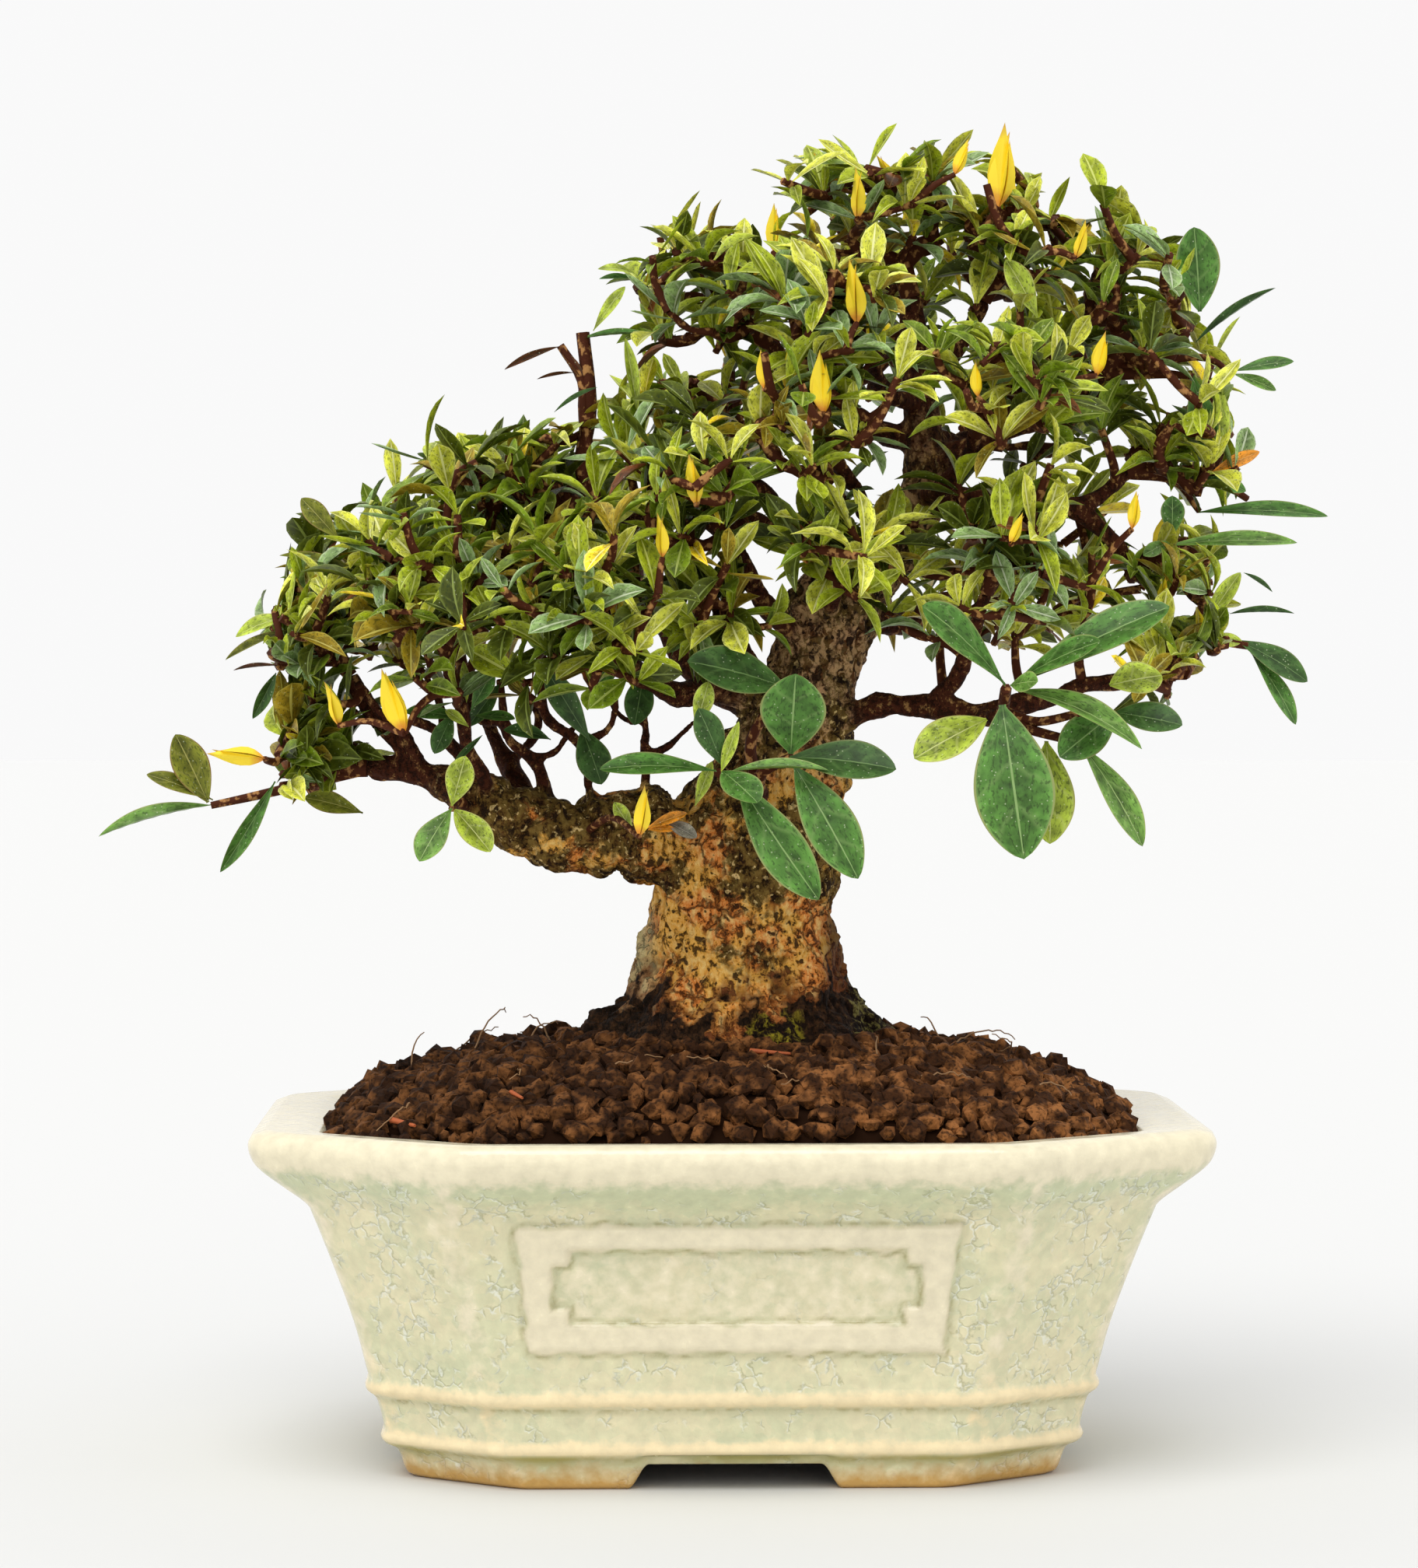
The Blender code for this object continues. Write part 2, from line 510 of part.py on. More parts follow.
class Space:
    """The room that one foliage mass may fill: its own side of a wall to each other mass, clear of limbs."""

    def __init__(self, row, rows, limbs):
        self.centre = np.array(row.centre, float)
        self.reach = np.array(row.reach, float)
        normals, offsets = [], []
        for other in rows:
            if other is row:
                continue
            away = np.array(other.centre, float) - self.centre
            length = np.linalg.norm(away)
            away /= length
            mine = 1.0 / np.linalg.norm(away / self.reach)
            theirs = 1.0 / np.linalg.norm(away / np.array(other.reach, float))
            normals.append(away)
            offsets.append(away @ self.centre + length * mine / (mine + theirs))
        self.normals = np.array(normals)
        self.offsets = np.array(offsets)
        starts, ends, sizes = [], [], []
        for limb in limbs.values():
            for i in range(len(limb.line) - 1):
                starts.append(limb.line[i])
                ends.append(limb.line[i + 1])
                sizes.append(max(limb.radii[i], limb.radii[i + 1]) * (1 + 1.5 * LUMP))
        self.starts = np.array(starts)
        self.runs = np.array(ends) - self.starts
        self.sizes = np.array(sizes)
        self.taken = np.empty((0, 3))

    def take(self, points):
        """Mark places as filled by a twig or a leaf."""
        self.taken = np.concatenate([self.taken, points])

    def in_free_air(self, points, margin):
        """Whether all points keep a distance from what is there already."""
        if not len(self.taken) or not len(points):
            return True
        away = points[:, None, :] - self.taken[None, :, :]
        return bool((np.einsum("nmk,nmk->nm", away, away) > margin * margin).all())

    def inside_cell(self, points, margin):
        """Whether all points keep to this mass's side of every wall."""
        return bool(np.all(points @ self.normals.T < self.offsets - margin))

    def clear_of_limbs(self, points, margin):
        """Whether all points keep a distance from every limb."""
        points = np.atleast_2d(points)
        away = points[:, None, :] - self.starts[None, :, :]
        share = np.einsum("nmk,mk->nm", away, self.runs) / np.einsum("mk,mk->m", self.runs, self.runs)
        share = np.clip(share, 0.0, 1.0)
        away -= share[:, :, None] * self.runs[None, :, :]
        return bool(np.all(np.linalg.norm(away, axis=2) > self.sizes + margin))


def spread_shoots(row, space, rng):
    """Shoot tips spread evenly through the mass, a leaf's length inside its outline."""
    if row.name in SPURS:
        return [np.array(tip, float) for tip, _ in SPURS[row.name]]
    tips = []
    inner = 1.0 - LEAF_INSET * row.leaf / space.reach
    for _ in range(row.shoots):
        best, best_score = None, -1.0
        for _ in range(SHOOT_TRIES):
            arrow = np.array([rng.gauss(0, 1) for _ in range(3)])
            arrow /= np.linalg.norm(arrow)
            place = space.centre + arrow * space.reach * inner * rng.uniform(0.5, 1.0) ** (1 / 3)
            if not space.inside_cell(place[None], SHOOT_MARGIN):
                continue
            if not space.clear_of_limbs(place, SHOOT_MARGIN):
                continue
            near = min([np.linalg.norm(place - tip) for tip in tips], default=FIRST_SHOOT_ROOM)
            score = near + SHOOT_LIFT * (place[2] - space.centre[2])
            if score > best_score:
                best, best_score = place, score
        if best is not None:
            tips.append(best)
    return tips


def between(start, end, count):
    """Evenly spaced points from one place to another."""
    return start + (end - start) * np.linspace(0.0, 1.0, count)[:, None]


def grow_twigs(row, bough, space, tips):
    """Twigs from one stem: each shoot joins the nearest twig. Returns points, parents and loads."""
    start = np.array(bough.line[-1] + bough.arrow * GAP)
    arrow = np.array(bough.arrow)
    reach = float(np.linalg.norm(space.centre - start))
    inward = (space.centre - start) / max(reach, 1e-6)
    joint = start + (arrow * 0.45 + inward * 0.55) * min(STEM_LENGTH, 0.6 * reach + 1)
    points, parents = [start, joint], [None, 0]
    shoots = []
    for tip in sorted(tips, key=lambda tip: float(np.linalg.norm(tip - joint))):
        order = sorted(range(1, len(points)), key=lambda i: float(np.linalg.norm(tip - points[i])))
        for i in order[:4]:
            run = tip - points[i]
            middle = points[i] + run * 0.5 - np.array([0.0, 0.0, TWIG_SAG * np.linalg.norm(run)])
            line = np.concatenate([between(points[i], middle, 8)[2:], between(middle, tip, 8)])
            if space.clear_of_limbs(line, TWIG_MARGIN) and space.inside_cell(line, TWIG_MARGIN):
                space.take(line[:-4])
                points += [middle, tip]
                parents += [i, len(points) - 2]
                shoots.append(len(points) - 1)
                break
    loads = [0] * len(points)
    for shoot in shoots:
        i = shoot
        while i is not None:
            loads[i] += 1
            i = parents[i]
    return points, parents, loads, shoots


def tube(bm, points, radii, sides, start_arrow=None):
    """A slim closed tube through a few points, its first cap square to an arrow."""
    line = [Vector(point) for point in points]
    tangents = [(b - a).normalized() for a, b in zip(line, line[1:])]
    tangents.append(tangents[-1])
    if start_arrow:
        tangents[0] = start_arrow
    side = tangents[0].orthogonal().normalized()
    rings = []
    for place, radius, tangent in zip(line, radii, tangents):
        side = (side - tangent * side.dot(tangent)).normalized()
        other = tangent.cross(side)
        rings.append([place + (side * math.cos(angle) + other * math.sin(angle)) * radius
                      for angle in (2 * math.pi * i / sides for i in range(sides))])
    loft(bm, rings)


def leaf_corners(root, arrow, up, length, width):
    """A leaf's six corners: root, tip, both sides, upper face and lower face."""
    arrow = arrow.normalized()
    side = arrow.cross(up).normalized()
    up = side.cross(arrow).normalized()
    middle = root + arrow * length * 0.5
    thick = length * LEAF_THICK
    tip = root + arrow * length - up * length * LEAF_DROOP
    return [root, tip, middle + side * width / 2, middle - side * width / 2,
            middle + up * thick, middle - up * thick * 0.4]


LEAF_FACES = ((0, 2, 4), (2, 1, 4), (1, 3, 4), (3, 0, 4), (2, 0, 5), (1, 2, 5), (3, 1, 5), (0, 3, 5))


def leaf_samples(corners):
    """Places along a leaf's edges and its two middle lines."""
    points = np.array(corners)
    lines = ((0, 1), (2, 3), (0, 2), (2, 1), (1, 3), (3, 0))
    return np.concatenate([between(points[a], points[b], 8) for a, b in lines])


def fits(corners, space):
    """Whether a leaf keeps to its mass's space and clear of the leaves and twigs made before it."""
    samples = leaf_samples(corners)
    outer = samples[np.linalg.norm(samples - samples[0], axis=1) > LEAF_STALK]
    return (space.inside_cell(samples, CELL_MARGIN) and space.clear_of_limbs(samples, LIMB_MARGIN)
            and bool(np.all(np.abs(samples) < OUTLINE_LIMIT)) and space.in_free_air(outer, LEAF_AIR))


def leaf_object(corners, name, collection):
    """One leaf as an object of its own, to be joined by the union."""
    bm = bmesh.new()
    verts = [bm.verts.new(corner) for corner in corners]
    for face in LEAF_FACES:
        bm.faces.new([verts[i] for i in face])
    bmesh.ops.recalc_face_normals(bm, faces=bm.faces)
    return object_from(bm, name, collection)


def rosette(row, space, tip, arrow, rng):
    """Leaves of one shoot, spiralling down from its tip."""
    if row.name in SPURS:
        return spur_rosette(row, space, tip)
    leaves = []
    turn = rng.uniform(0, 2 * math.pi)
    out = Vector(tip - space.centre)
    out.z = 0.0
    axis = (arrow * 0.5 + out.normalized() * 0.45 + Vector((0, 0, 0.65))).normalized()
    side = axis.orthogonal().normalized()
    for i in range(LEAVES_A_SHOOT):
        angle = turn + i * GOLDEN_ANGLE
        spread = math.radians(rng.uniform(42, 82) if i else 15)
        around = side * math.cos(angle) + axis.cross(side) * math.sin(angle)
        way = axis * math.cos(spread) + around * math.sin(spread)
        up = axis - way * axis.dot(way) * 0.9
        length = row.leaf * rng.uniform(0.85, 1.15)
        root = Vector(tip) - arrow * (0.5 + LEAF_PITCH * i) - way * LEAF_ROOT
        for share in (1.0, 0.85, 0.7):
            corners = leaf_corners(root, way, up, length * share + LEAF_ROOT, length * share * LEAF_WIDTH)
            if fits(corners, space):
                leaves.append(corners)
                space.take(leaf_samples(corners))
                break
    return leaves


def spur_rosette(row, space, tip):
    """The named large leaves of a young shoot."""
    own = min(SPURS[row.name], key=lambda spur: np.linalg.norm(tip - np.array(spur[0])))
    up = Vector((0.0, -1.0, 0.6)).normalized()
    leaves = []
    for i, (angle, lean, length) in enumerate(own[1]):
        turn = math.radians(angle)
        way = Vector((math.cos(turn), -lean, math.sin(turn))).normalized()
        root = Vector(tip) - way * LEAF_ROOT + Vector((0.0, 0.35 * i - 1.2, 0.0))
        for share in (1.0, 0.85, 0.7, 0.5):
            long = length * share
            corners = leaf_corners(root, way, up, long + LEAF_ROOT, long * SPUR_LEAF_WIDTH)
            if fits(corners, space):
                leaves.append(corners)
                break
    return leaves


def keep_largest(mesh):
    """Drop the scraps and the inner skins that a union leaves, and keep the outer skin."""
    bm = bmesh.new()
    bm.from_mesh(mesh)
    seen, groups = set(), []
    for vert in bm.verts:
        if vert in seen:
            continue
        group, stack = [], [vert]
        seen.add(vert)
        while stack:
            one = stack.pop()
            group.append(one)
            for edge in one.link_edges:
                other = edge.other_vert(one)
                if other not in seen:
                    seen.add(other)
                    stack.append(other)
        groups.append(group)
    groups.sort(key=len)
    for group in groups[:-1]:
        bmesh.ops.delete(bm, geom=group, context="VERTS")
    bmesh.ops.triangulate(bm, faces=bm.faces)
    bm.to_mesh(mesh)
    bm.free()


def make_foliage(row, rows, limbs, parts):
    """One foliage mass: a stem, its twigs and leaves, joined by one union."""
    bough = limbs["trunk"] if row.name == "apex" else limbs[row.name]
    rng = random.Random("%s %d" % (row.name, SEED))
    space = Space(row, rows, limbs)
    tips = spread_shoots(row, space, rng)
    points, parents, loads, shoots = grow_twigs(row, bough, space, tips)
    pieces = new_collection("pieces_" + row.name)
    stem_radius = bough.radii[-1]

    def thickness(i):
        return min(stem_radius, TWIG_RADIUS + TWIG_GAIN * math.sqrt(loads[i]))

    bm = bmesh.new()
    tube(bm, points[:2], [stem_radius, thickness(1)], STEM_SIDES, bough.arrow)
    name = "foliage_" + row.name
    stem = object_from(bm, name, parts, "leaf")
    leaves = []
    for shoot in shoots:
        middle = parents[shoot]
        joint = parents[middle]
        bm = bmesh.new()
        radii = [thickness(middle), thickness(middle), TWIG_RADIUS]
        tube(bm, [points[joint], points[middle], points[shoot]], radii, TWIG_SIDES)
        object_from(bm, name + "_twig_%d" % shoot, pieces)
        arrow = Vector(points[shoot] - points[middle]).normalized()
        leaves += rosette(row, space, points[shoot], arrow, rng)
    for owner, root, tip in END_LEAVES:
        if owner == row.name:
            leaves += end_leaf(Vector(root), Vector(tip), points, name, pieces)
    for i, corners in enumerate(leaves):
        leaf_object(corners, name + "_leaf_%d" % i, pieces)
    join(stem, pieces)


def end_leaf(root, tip, points, name, pieces):
    """A leaf that ends exactly at a named point, on a twig of its own."""
    joint = min(points[1:], key=lambda point: (Vector(point) - root).length)
    bm = bmesh.new()
    tube(bm, [joint, root], [TWIG_RADIUS * 1.3, TWIG_RADIUS], TWIG_SIDES)
    object_from(bm, name + "_end_twig", pieces)
    way = (tip - root).normalized()
    length = (tip - root).length + LEAF_ROOT
    corners = leaf_corners(root - way * LEAF_ROOT, way, Vector((0, 0, 1)), length, END_LEAF_WIDTH)
    corners[1] = tip
    return [corners]


def join(stem, pieces):
    """Union of a stem with every piece of a collection, applied, and the pieces removed."""
    modifier = stem.modifiers.new("Union", "BOOLEAN")
    modifier.operation = "UNION"
    modifier.operand_type = "COLLECTION"
    modifier.collection = pieces
    modifier.solver = "MANIFOLD"
    bpy.context.view_layer.update()
    graph = bpy.context.evaluated_depsgraph_get()
    joined = bpy.data.meshes.new_from_object(stem.evaluated_get(graph))
    stem.modifiers.clear()
    joined.name = stem.name
    stem.data = joined
    keep_largest(joined)
    for piece in list(pieces.objects):
        bpy.data.objects.remove(piece, do_unlink=True)
    bpy.data.collections.remove(pieces)


def build():
    """Make every part."""
    clear_scene()
    parts = new_collection("azalea_bonsai")
    cutters = new_collection("cutters")
    make_pot(parts, cutters)
    make_soil(parts)
    limbs = {"trunk": make_trunk(parts)}
    for row in BOUGHS:
        make_bough(row, limbs, parts, cutters)
    rows = BOUGHS + (APEX,)
    for row in rows:
        make_foliage(row, rows, limbs, parts)


build()
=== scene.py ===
"""Azalea bonsai in a crackle-glazed pot: the looks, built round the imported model.

Sizes are in millimetres and turn to Blender's metres when a mesh is made. +X is the viewer's
right, +Y is away from the viewer, +Z is up, and the pot stands on z = 0.
"""

import json
import math
import random
from collections import namedtuple
from functools import partial

import bmesh
import bpy
import numpy as np
from mathutils import Matrix, Vector, noise

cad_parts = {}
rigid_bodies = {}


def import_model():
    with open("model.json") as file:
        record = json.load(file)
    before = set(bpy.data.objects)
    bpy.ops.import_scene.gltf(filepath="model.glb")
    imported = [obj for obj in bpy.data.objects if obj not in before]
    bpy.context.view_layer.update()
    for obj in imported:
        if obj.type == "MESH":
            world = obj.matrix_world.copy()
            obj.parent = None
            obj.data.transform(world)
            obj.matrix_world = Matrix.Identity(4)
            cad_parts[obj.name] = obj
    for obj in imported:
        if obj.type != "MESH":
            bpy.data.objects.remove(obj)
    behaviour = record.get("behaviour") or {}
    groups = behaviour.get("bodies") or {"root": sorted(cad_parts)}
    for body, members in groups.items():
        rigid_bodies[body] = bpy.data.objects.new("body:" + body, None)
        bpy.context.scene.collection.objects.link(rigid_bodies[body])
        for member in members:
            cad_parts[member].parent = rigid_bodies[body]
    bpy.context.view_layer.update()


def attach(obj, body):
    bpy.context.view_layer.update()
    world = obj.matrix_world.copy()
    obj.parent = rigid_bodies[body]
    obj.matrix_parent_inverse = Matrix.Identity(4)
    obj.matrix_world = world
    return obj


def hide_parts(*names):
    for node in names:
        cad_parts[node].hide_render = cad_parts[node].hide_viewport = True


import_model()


# Table, light and camera: a broad white table under an even white surround, and one wide soft light
# from above, in front and a little left. The camera stands level with the middle of the crown,
# 0.8 m in front, with the long lens that the photograph's even sizes call for.

MM = 0.001
PHOTO_SIZE = (1823, 2016)
FOCAL_PIXELS = 6013.0           # the lens's focal length in the photograph's pixels
CAMERA_PLACE = (-23.7, -799.6, 134.0)
AIM_RIGHT, AIM_DOWN = 24.5, 150.5       # from the photograph's middle to the level line ahead, pixels
TABLE_RADIUS = 6000.0
SURROUND = 0.95                 # the surround's brightness, the same as the table's under the lamp
LAMP_STRENGTH, LAMP_WIDTH, LAMP_SHINES = 1.5, 42.0, (0.17, 0.43, -0.88)


def linear(hex_colour):
    """An sRGB hex colour as the linear colour that a shader takes."""
    channels = [int(hex_colour[i:i + 2], 16) / 255 for i in (1, 3, 5)]
    return tuple(c / 12.92 if c <= 0.04045 else ((c + 0.055) / 1.055) ** 2.4 for c in channels) + (1.0,)


def feed(node, inputs):
    """Fill a node's inputs by name or number: from another node's output, or with a value or hex colour."""
    for key, value in inputs.items():
        if isinstance(value, bpy.types.NodeSocket):
            node.id_data.links.new(value, node.inputs[key])
        else:
            node.inputs[key].default_value = linear(value) if isinstance(value, str) else value


def add_node(tree, kind, inputs, out=0, **settings):
    """Add a shader node with its settings and its inputs, named or in order, and return one output."""
    made = tree.nodes.new("ShaderNode" + kind)
    for key, value in settings.items():
        setattr(made, key, value)
    feed(made, inputs if isinstance(inputs, dict) else dict(enumerate(inputs)))
    return made.outputs[out]


def new_material(name, colour, roughness, specular=0.5):
    """A material, the function that adds nodes to it, and its shader."""
    material = bpy.data.materials.new(name)
    material.use_nodes = True
    shader = material.node_tree.nodes["Principled BSDF"]
    feed(shader, {"Base Color": colour, "Roughness": roughness, "Specular IOR Level": specular})
    return material, partial(add_node, material.node_tree), shader


def coated(node, colour, *coats):
    """A colour under coats, each one a share and a tint, laid in order by nodes."""
    for share, tint in coats:
        colour = node("Mix", {0: share, 6: colour, 7: tint}, 2, data_type="RGBA")
    return colour


def per_mm(size):
    """The scale at which a pattern on Object coordinates repeats every so many millimetres."""
    return 1.0 / (size * MM)


def mesh_object(name, mesh, *materials):
    """A smooth object at the origin for a mesh in metres."""
    thing = bpy.data.objects.new(name, mesh)
    bpy.context.scene.collection.objects.link(thing)
    mesh.materials.clear()
    for material in materials:
        mesh.materials.append(material)
    mesh.shade_smooth()
    return thing


def make_object(name, bm, *materials):
    """A smooth object at the origin from a bmesh in millimetres."""
    bmesh.ops.scale(bm, vec=(MM, MM, MM), verts=bm.verts)
    mesh = bpy.data.meshes.new(name)
    bm.to_mesh(mesh)
    bm.free()
    return mesh_object(name, mesh, *materials)


bm = bmesh.new()
bmesh.ops.create_circle(bm, cap_ends=True, segments=96, radius=TABLE_RADIUS)
table_paint = new_material("white_table_paint", "#d9d9d8", 0.8)[0]
table = make_object("table", bm, table_paint)

world = bpy.data.worlds.new("white_surround")
world.use_nodes = True
world.node_tree.nodes["Background"].inputs["Color"].default_value = (1.0, 1.0, 1.0, 1.0)
world.node_tree.nodes["Background"].inputs["Strength"].default_value = SURROUND
bpy.context.scene.world = world
bpy.context.scene.view_settings.view_transform = "Standard"

lamp = bpy.data.lights.new("studio_light", "SUN")
lamp.energy = LAMP_STRENGTH
lamp.angle = math.radians(LAMP_WIDTH)
studio_light = bpy.data.objects.new("studio_light", lamp)
bpy.context.scene.collection.objects.link(studio_light)
studio_light.rotation_euler = Vector(LAMP_SHINES).to_track_quat("-Z", "Y").to_euler()

lens = bpy.data.cameras.new("camera")
lens.sensor_width = 36.0
lens.lens = 36.0 * FOCAL_PIXELS / max(PHOTO_SIZE)
lens.clip_start, lens.clip_end = 0.05, 20.0
camera = bpy.data.objects.new("camera", lens)
bpy.context.scene.collection.objects.link(camera)
camera.location = Vector(CAMERA_PLACE) * MM
turn = math.atan2(-CAMERA_PLACE[0], -CAMERA_PLACE[1]) - math.atan2(AIM_RIGHT, FOCAL_PIXELS)
camera.rotation_euler = (math.pi / 2 - math.atan2(AIM_DOWN, FOCAL_PIXELS), 0.0, -turn)
bpy.context.scene.camera = camera


# Pot: a stoneware rectangle with cut corners, press-moulded in one piece with its rim, two ribs,
# feet and framed panels, and dipped in a pale celadon glaze that crackles where it lies thick
# and thins to cream over every edge.

POT_HEIGHT = 58.0
POT_DEPTH_RATIO = 0.75
POT_CUT_RATIO = 0.72
POT_UNDERSIDE = ((4.2, 40.0, 27.0), (4.2, 45.0, 30.0), (3.2, 46.2, 31.0), (0.5, 46.9, 31.4),
                 (0.0, 47.6, 32.0), (0.0, 53.2, 34.8))      # height, half width, half front flat
POT_OUTSIDE = (
    (0.5, 54.1, 35.3), (1.3, 54.5, 35.6), (3.9, 55.4, 36.2), (4.9, 56.2, 37.0), (5.7, 57.7, 38.1),
    (6.8, 58.4, 38.5), (7.9, 57.9, 38.3), (9.2, 58.0, 38.5), (12.4, 58.8, 39.1), (13.6, 59.4, 39.5),
    (14.6, 60.6, 40.2), (15.6, 60.9, 40.4), (16.8, 60.4, 40.2), (18.2, 60.7, 40.4), (26.0, 62.7, 42.0),
    (35.5, 66.0, 44.2), (43.8, 69.2, 46.0), (46.0, 70.4, 46.2), (48.6, 74.0, 46.0), (50.9, 77.3, 45.4),
    (52.8, 79.2, 45.0), (55.4, 80.0, 44.8), (57.2, 79.3, 44.5),
)
POT_LIP = ((POT_HEIGHT, 77.2, 43.8), (57.9, 74.0, 42.6), (57.7, 70.5, 41.4), (57.1, 67.8, 40.3))
POT_INSIDE = ((52.0, 66.2, 39.5), (34.0, 59.6, 36.2), (13.0, 52.0, 32.5), (10.0, 48.5, 30.5))
RING_STEPS = (150, 24, 60, 24)          # along the front flat, a cut corner, a side flat, a corner
CORNER_SOFTENING = 10                   # passes that round the upright edges
ARCH_HEIGHT, ARCH_FADE = 4.0, 6.2       # the feet's arches, and the height where they stop showing
ARCH_HALF_FRONT, ARCH_HALF_SIDE, ARCH_SLOPE = 15.8, 11.2, 3.4
PANEL_LOW, PANEL_HIGH, PANEL_HALF_LOW, PANEL_HALF_HIGH, PANEL_PROUD = 23.2, 44.3, 33.5, 35.7, 0.95
FIELD_LOW, FIELD_HIGH, FIELD_HALF, FIELD_NOTCH, FIELD_DEPTH = 28.0, 40.3, 29.7, 2.6, 1.35
PANEL_EDGE = 1.1                        # width of the slope at the panel's edges
CRACKLE_ASIDE, CRACKLE_HIGH, CRACKLE_LOW = 38.5, 46.0, 21.0     # bands of crackle round the panel
CRACKLE_IN = 7.0                        # and beside each upright edge, this far from it
RIB_HEIGHTS, RIB_WIDTH = (6.9, 15.2), 1.3               # the glaze is thin over this much each way
RIM_THIN = 51.4                         # thin above this height
GLAZE_CREAM, GLAZE_WARM, GLAZE_BODY, GLAZE_POOL = "#ebe0c2", "#f2deb2", "#e5dcb6", "#ccd0aa"
# GLAZE_SHADOW_LINE is painted shadow under the ribs and along the panels' edges
GLAZE_BUFF, GLAZE_CRACK, GLAZE_SHADOW_LINE, GLAZE_GLINT = "#cd9c48", "#8e9166", "#928a56", "#f2f7f5"
GLAZE_FOOT_SHADE = "#a8a05a"          # painted shade: a darker olive band over the tops of the feet, under the lower rib
UNDERSIDE_CLAY_SHADE = "#57402f"           # the unglazed underside: bare clay, made dark brown as painted shade in the hollow under the pot


def smooth_rows(rows, spacing):
    """A Catmull-Rom curve through rows of numbers, in steps of about one spacing."""
    rows = np.array(rows, float)
    ends = np.vstack([2 * rows[0] - rows[1], rows, 2 * rows[-1] - rows[-2]])
    fine = []
    for p0, p1, p2, p3 in zip(ends, ends[1:], ends[2:], ends[3:]):
        steps = max(1, round(float(np.linalg.norm((p2 - p1)[:3])) / spacing))
        for t in np.arange(steps) / steps:
            fine.append(0.5 * (2 * p1 + (p2 - p0) * t + (2 * p0 - 5 * p1 + 4 * p2 - p3) * t * t
                               + (3 * p1 - p0 - 3 * p2 + p3) * t ** 3))
    fine.append(rows[-1])
    return np.array(fine)


def ramp(value, width):
    """A smooth rise from 0 to 1 as a value passes nought, over a width."""
    share = np.clip(value / width + 0.5, 0.0, 1.0)
    return share * share * (3 - 2 * share)


def cut_corner_ring(half, flat, steps, softening):
    """Points round the pot's outline at one level, anticlockwise from the front's left end."""
    half_y = half * POT_DEPTH_RATIO
    flat_y = half_y - (half - flat) * POT_CUT_RATIO
    corners = [(-flat, -half_y), (flat, -half_y), (half, -flat_y), (half, flat_y),
               (flat, half_y), (-flat, half_y), (-half, flat_y), (-half, -flat_y)]
    points = []
    for i, count in enumerate(steps * 2):
        a, b = np.array(corners[i]), np.array(corners[(i + 1) % 8])
        points += [a + (b - a) * t for t in np.arange(count) / count]
    points = np.array(points)
    for _ in range(softening):
        points = 0.5 * points + 0.25 * (np.roll(points, 1, 0) + np.roll(points, -1, 0))
    return points


def skin(rings, values=None):
    """A closed skin: a grid wrapped round rings of points, its seam merged and its ends filled."""
    levels, count = rings.shape[:2]
    bm = bmesh.new()
    bmesh.ops.create_grid(bm, x_segments=count, y_segments=levels - 1, size=1.0)
    layers = [(bm.verts.layers.float.new(name), numbers) for name, numbers in (values or {}).items()]
    for vert in bm.verts:
        i = round((vert.co.x + 1) / 2 * count) % count
        j = round((vert.co.y + 1) / 2 * (levels - 1))
        vert.co = rings[j, i]
        for layer, numbers in layers:
            vert[layer] = numbers[j, i]
    bmesh.ops.remove_doubles(bm, verts=bm.verts, dist=1e-5)
    bmesh.ops.holes_fill(bm, edges=[edge for edge in bm.edges if edge.is_boundary], sides=0)
    bmesh.ops.recalc_face_normals(bm, faces=bm.faces)
    return bm


def panel_edges(x, z):
    """Distances in from the framed panel's edge and from its notched field's edge."""
    half = PANEL_HALF_LOW + (PANEL_HALF_HIGH - PANEL_HALF_LOW) * (z - PANEL_LOW) / (PANEL_HIGH - PANEL_LOW)
    frame_edge = np.minimum(half - np.abs(x), np.minimum(z - PANEL_LOW, PANEL_HIGH - z))
    upright = np.minimum(z - FIELD_LOW, FIELD_HIGH - z)
    across = FIELD_HALF - np.abs(x)
    return frame_edge, np.minimum(np.minimum(across, upright), np.maximum(across, upright) - FIELD_NOTCH)


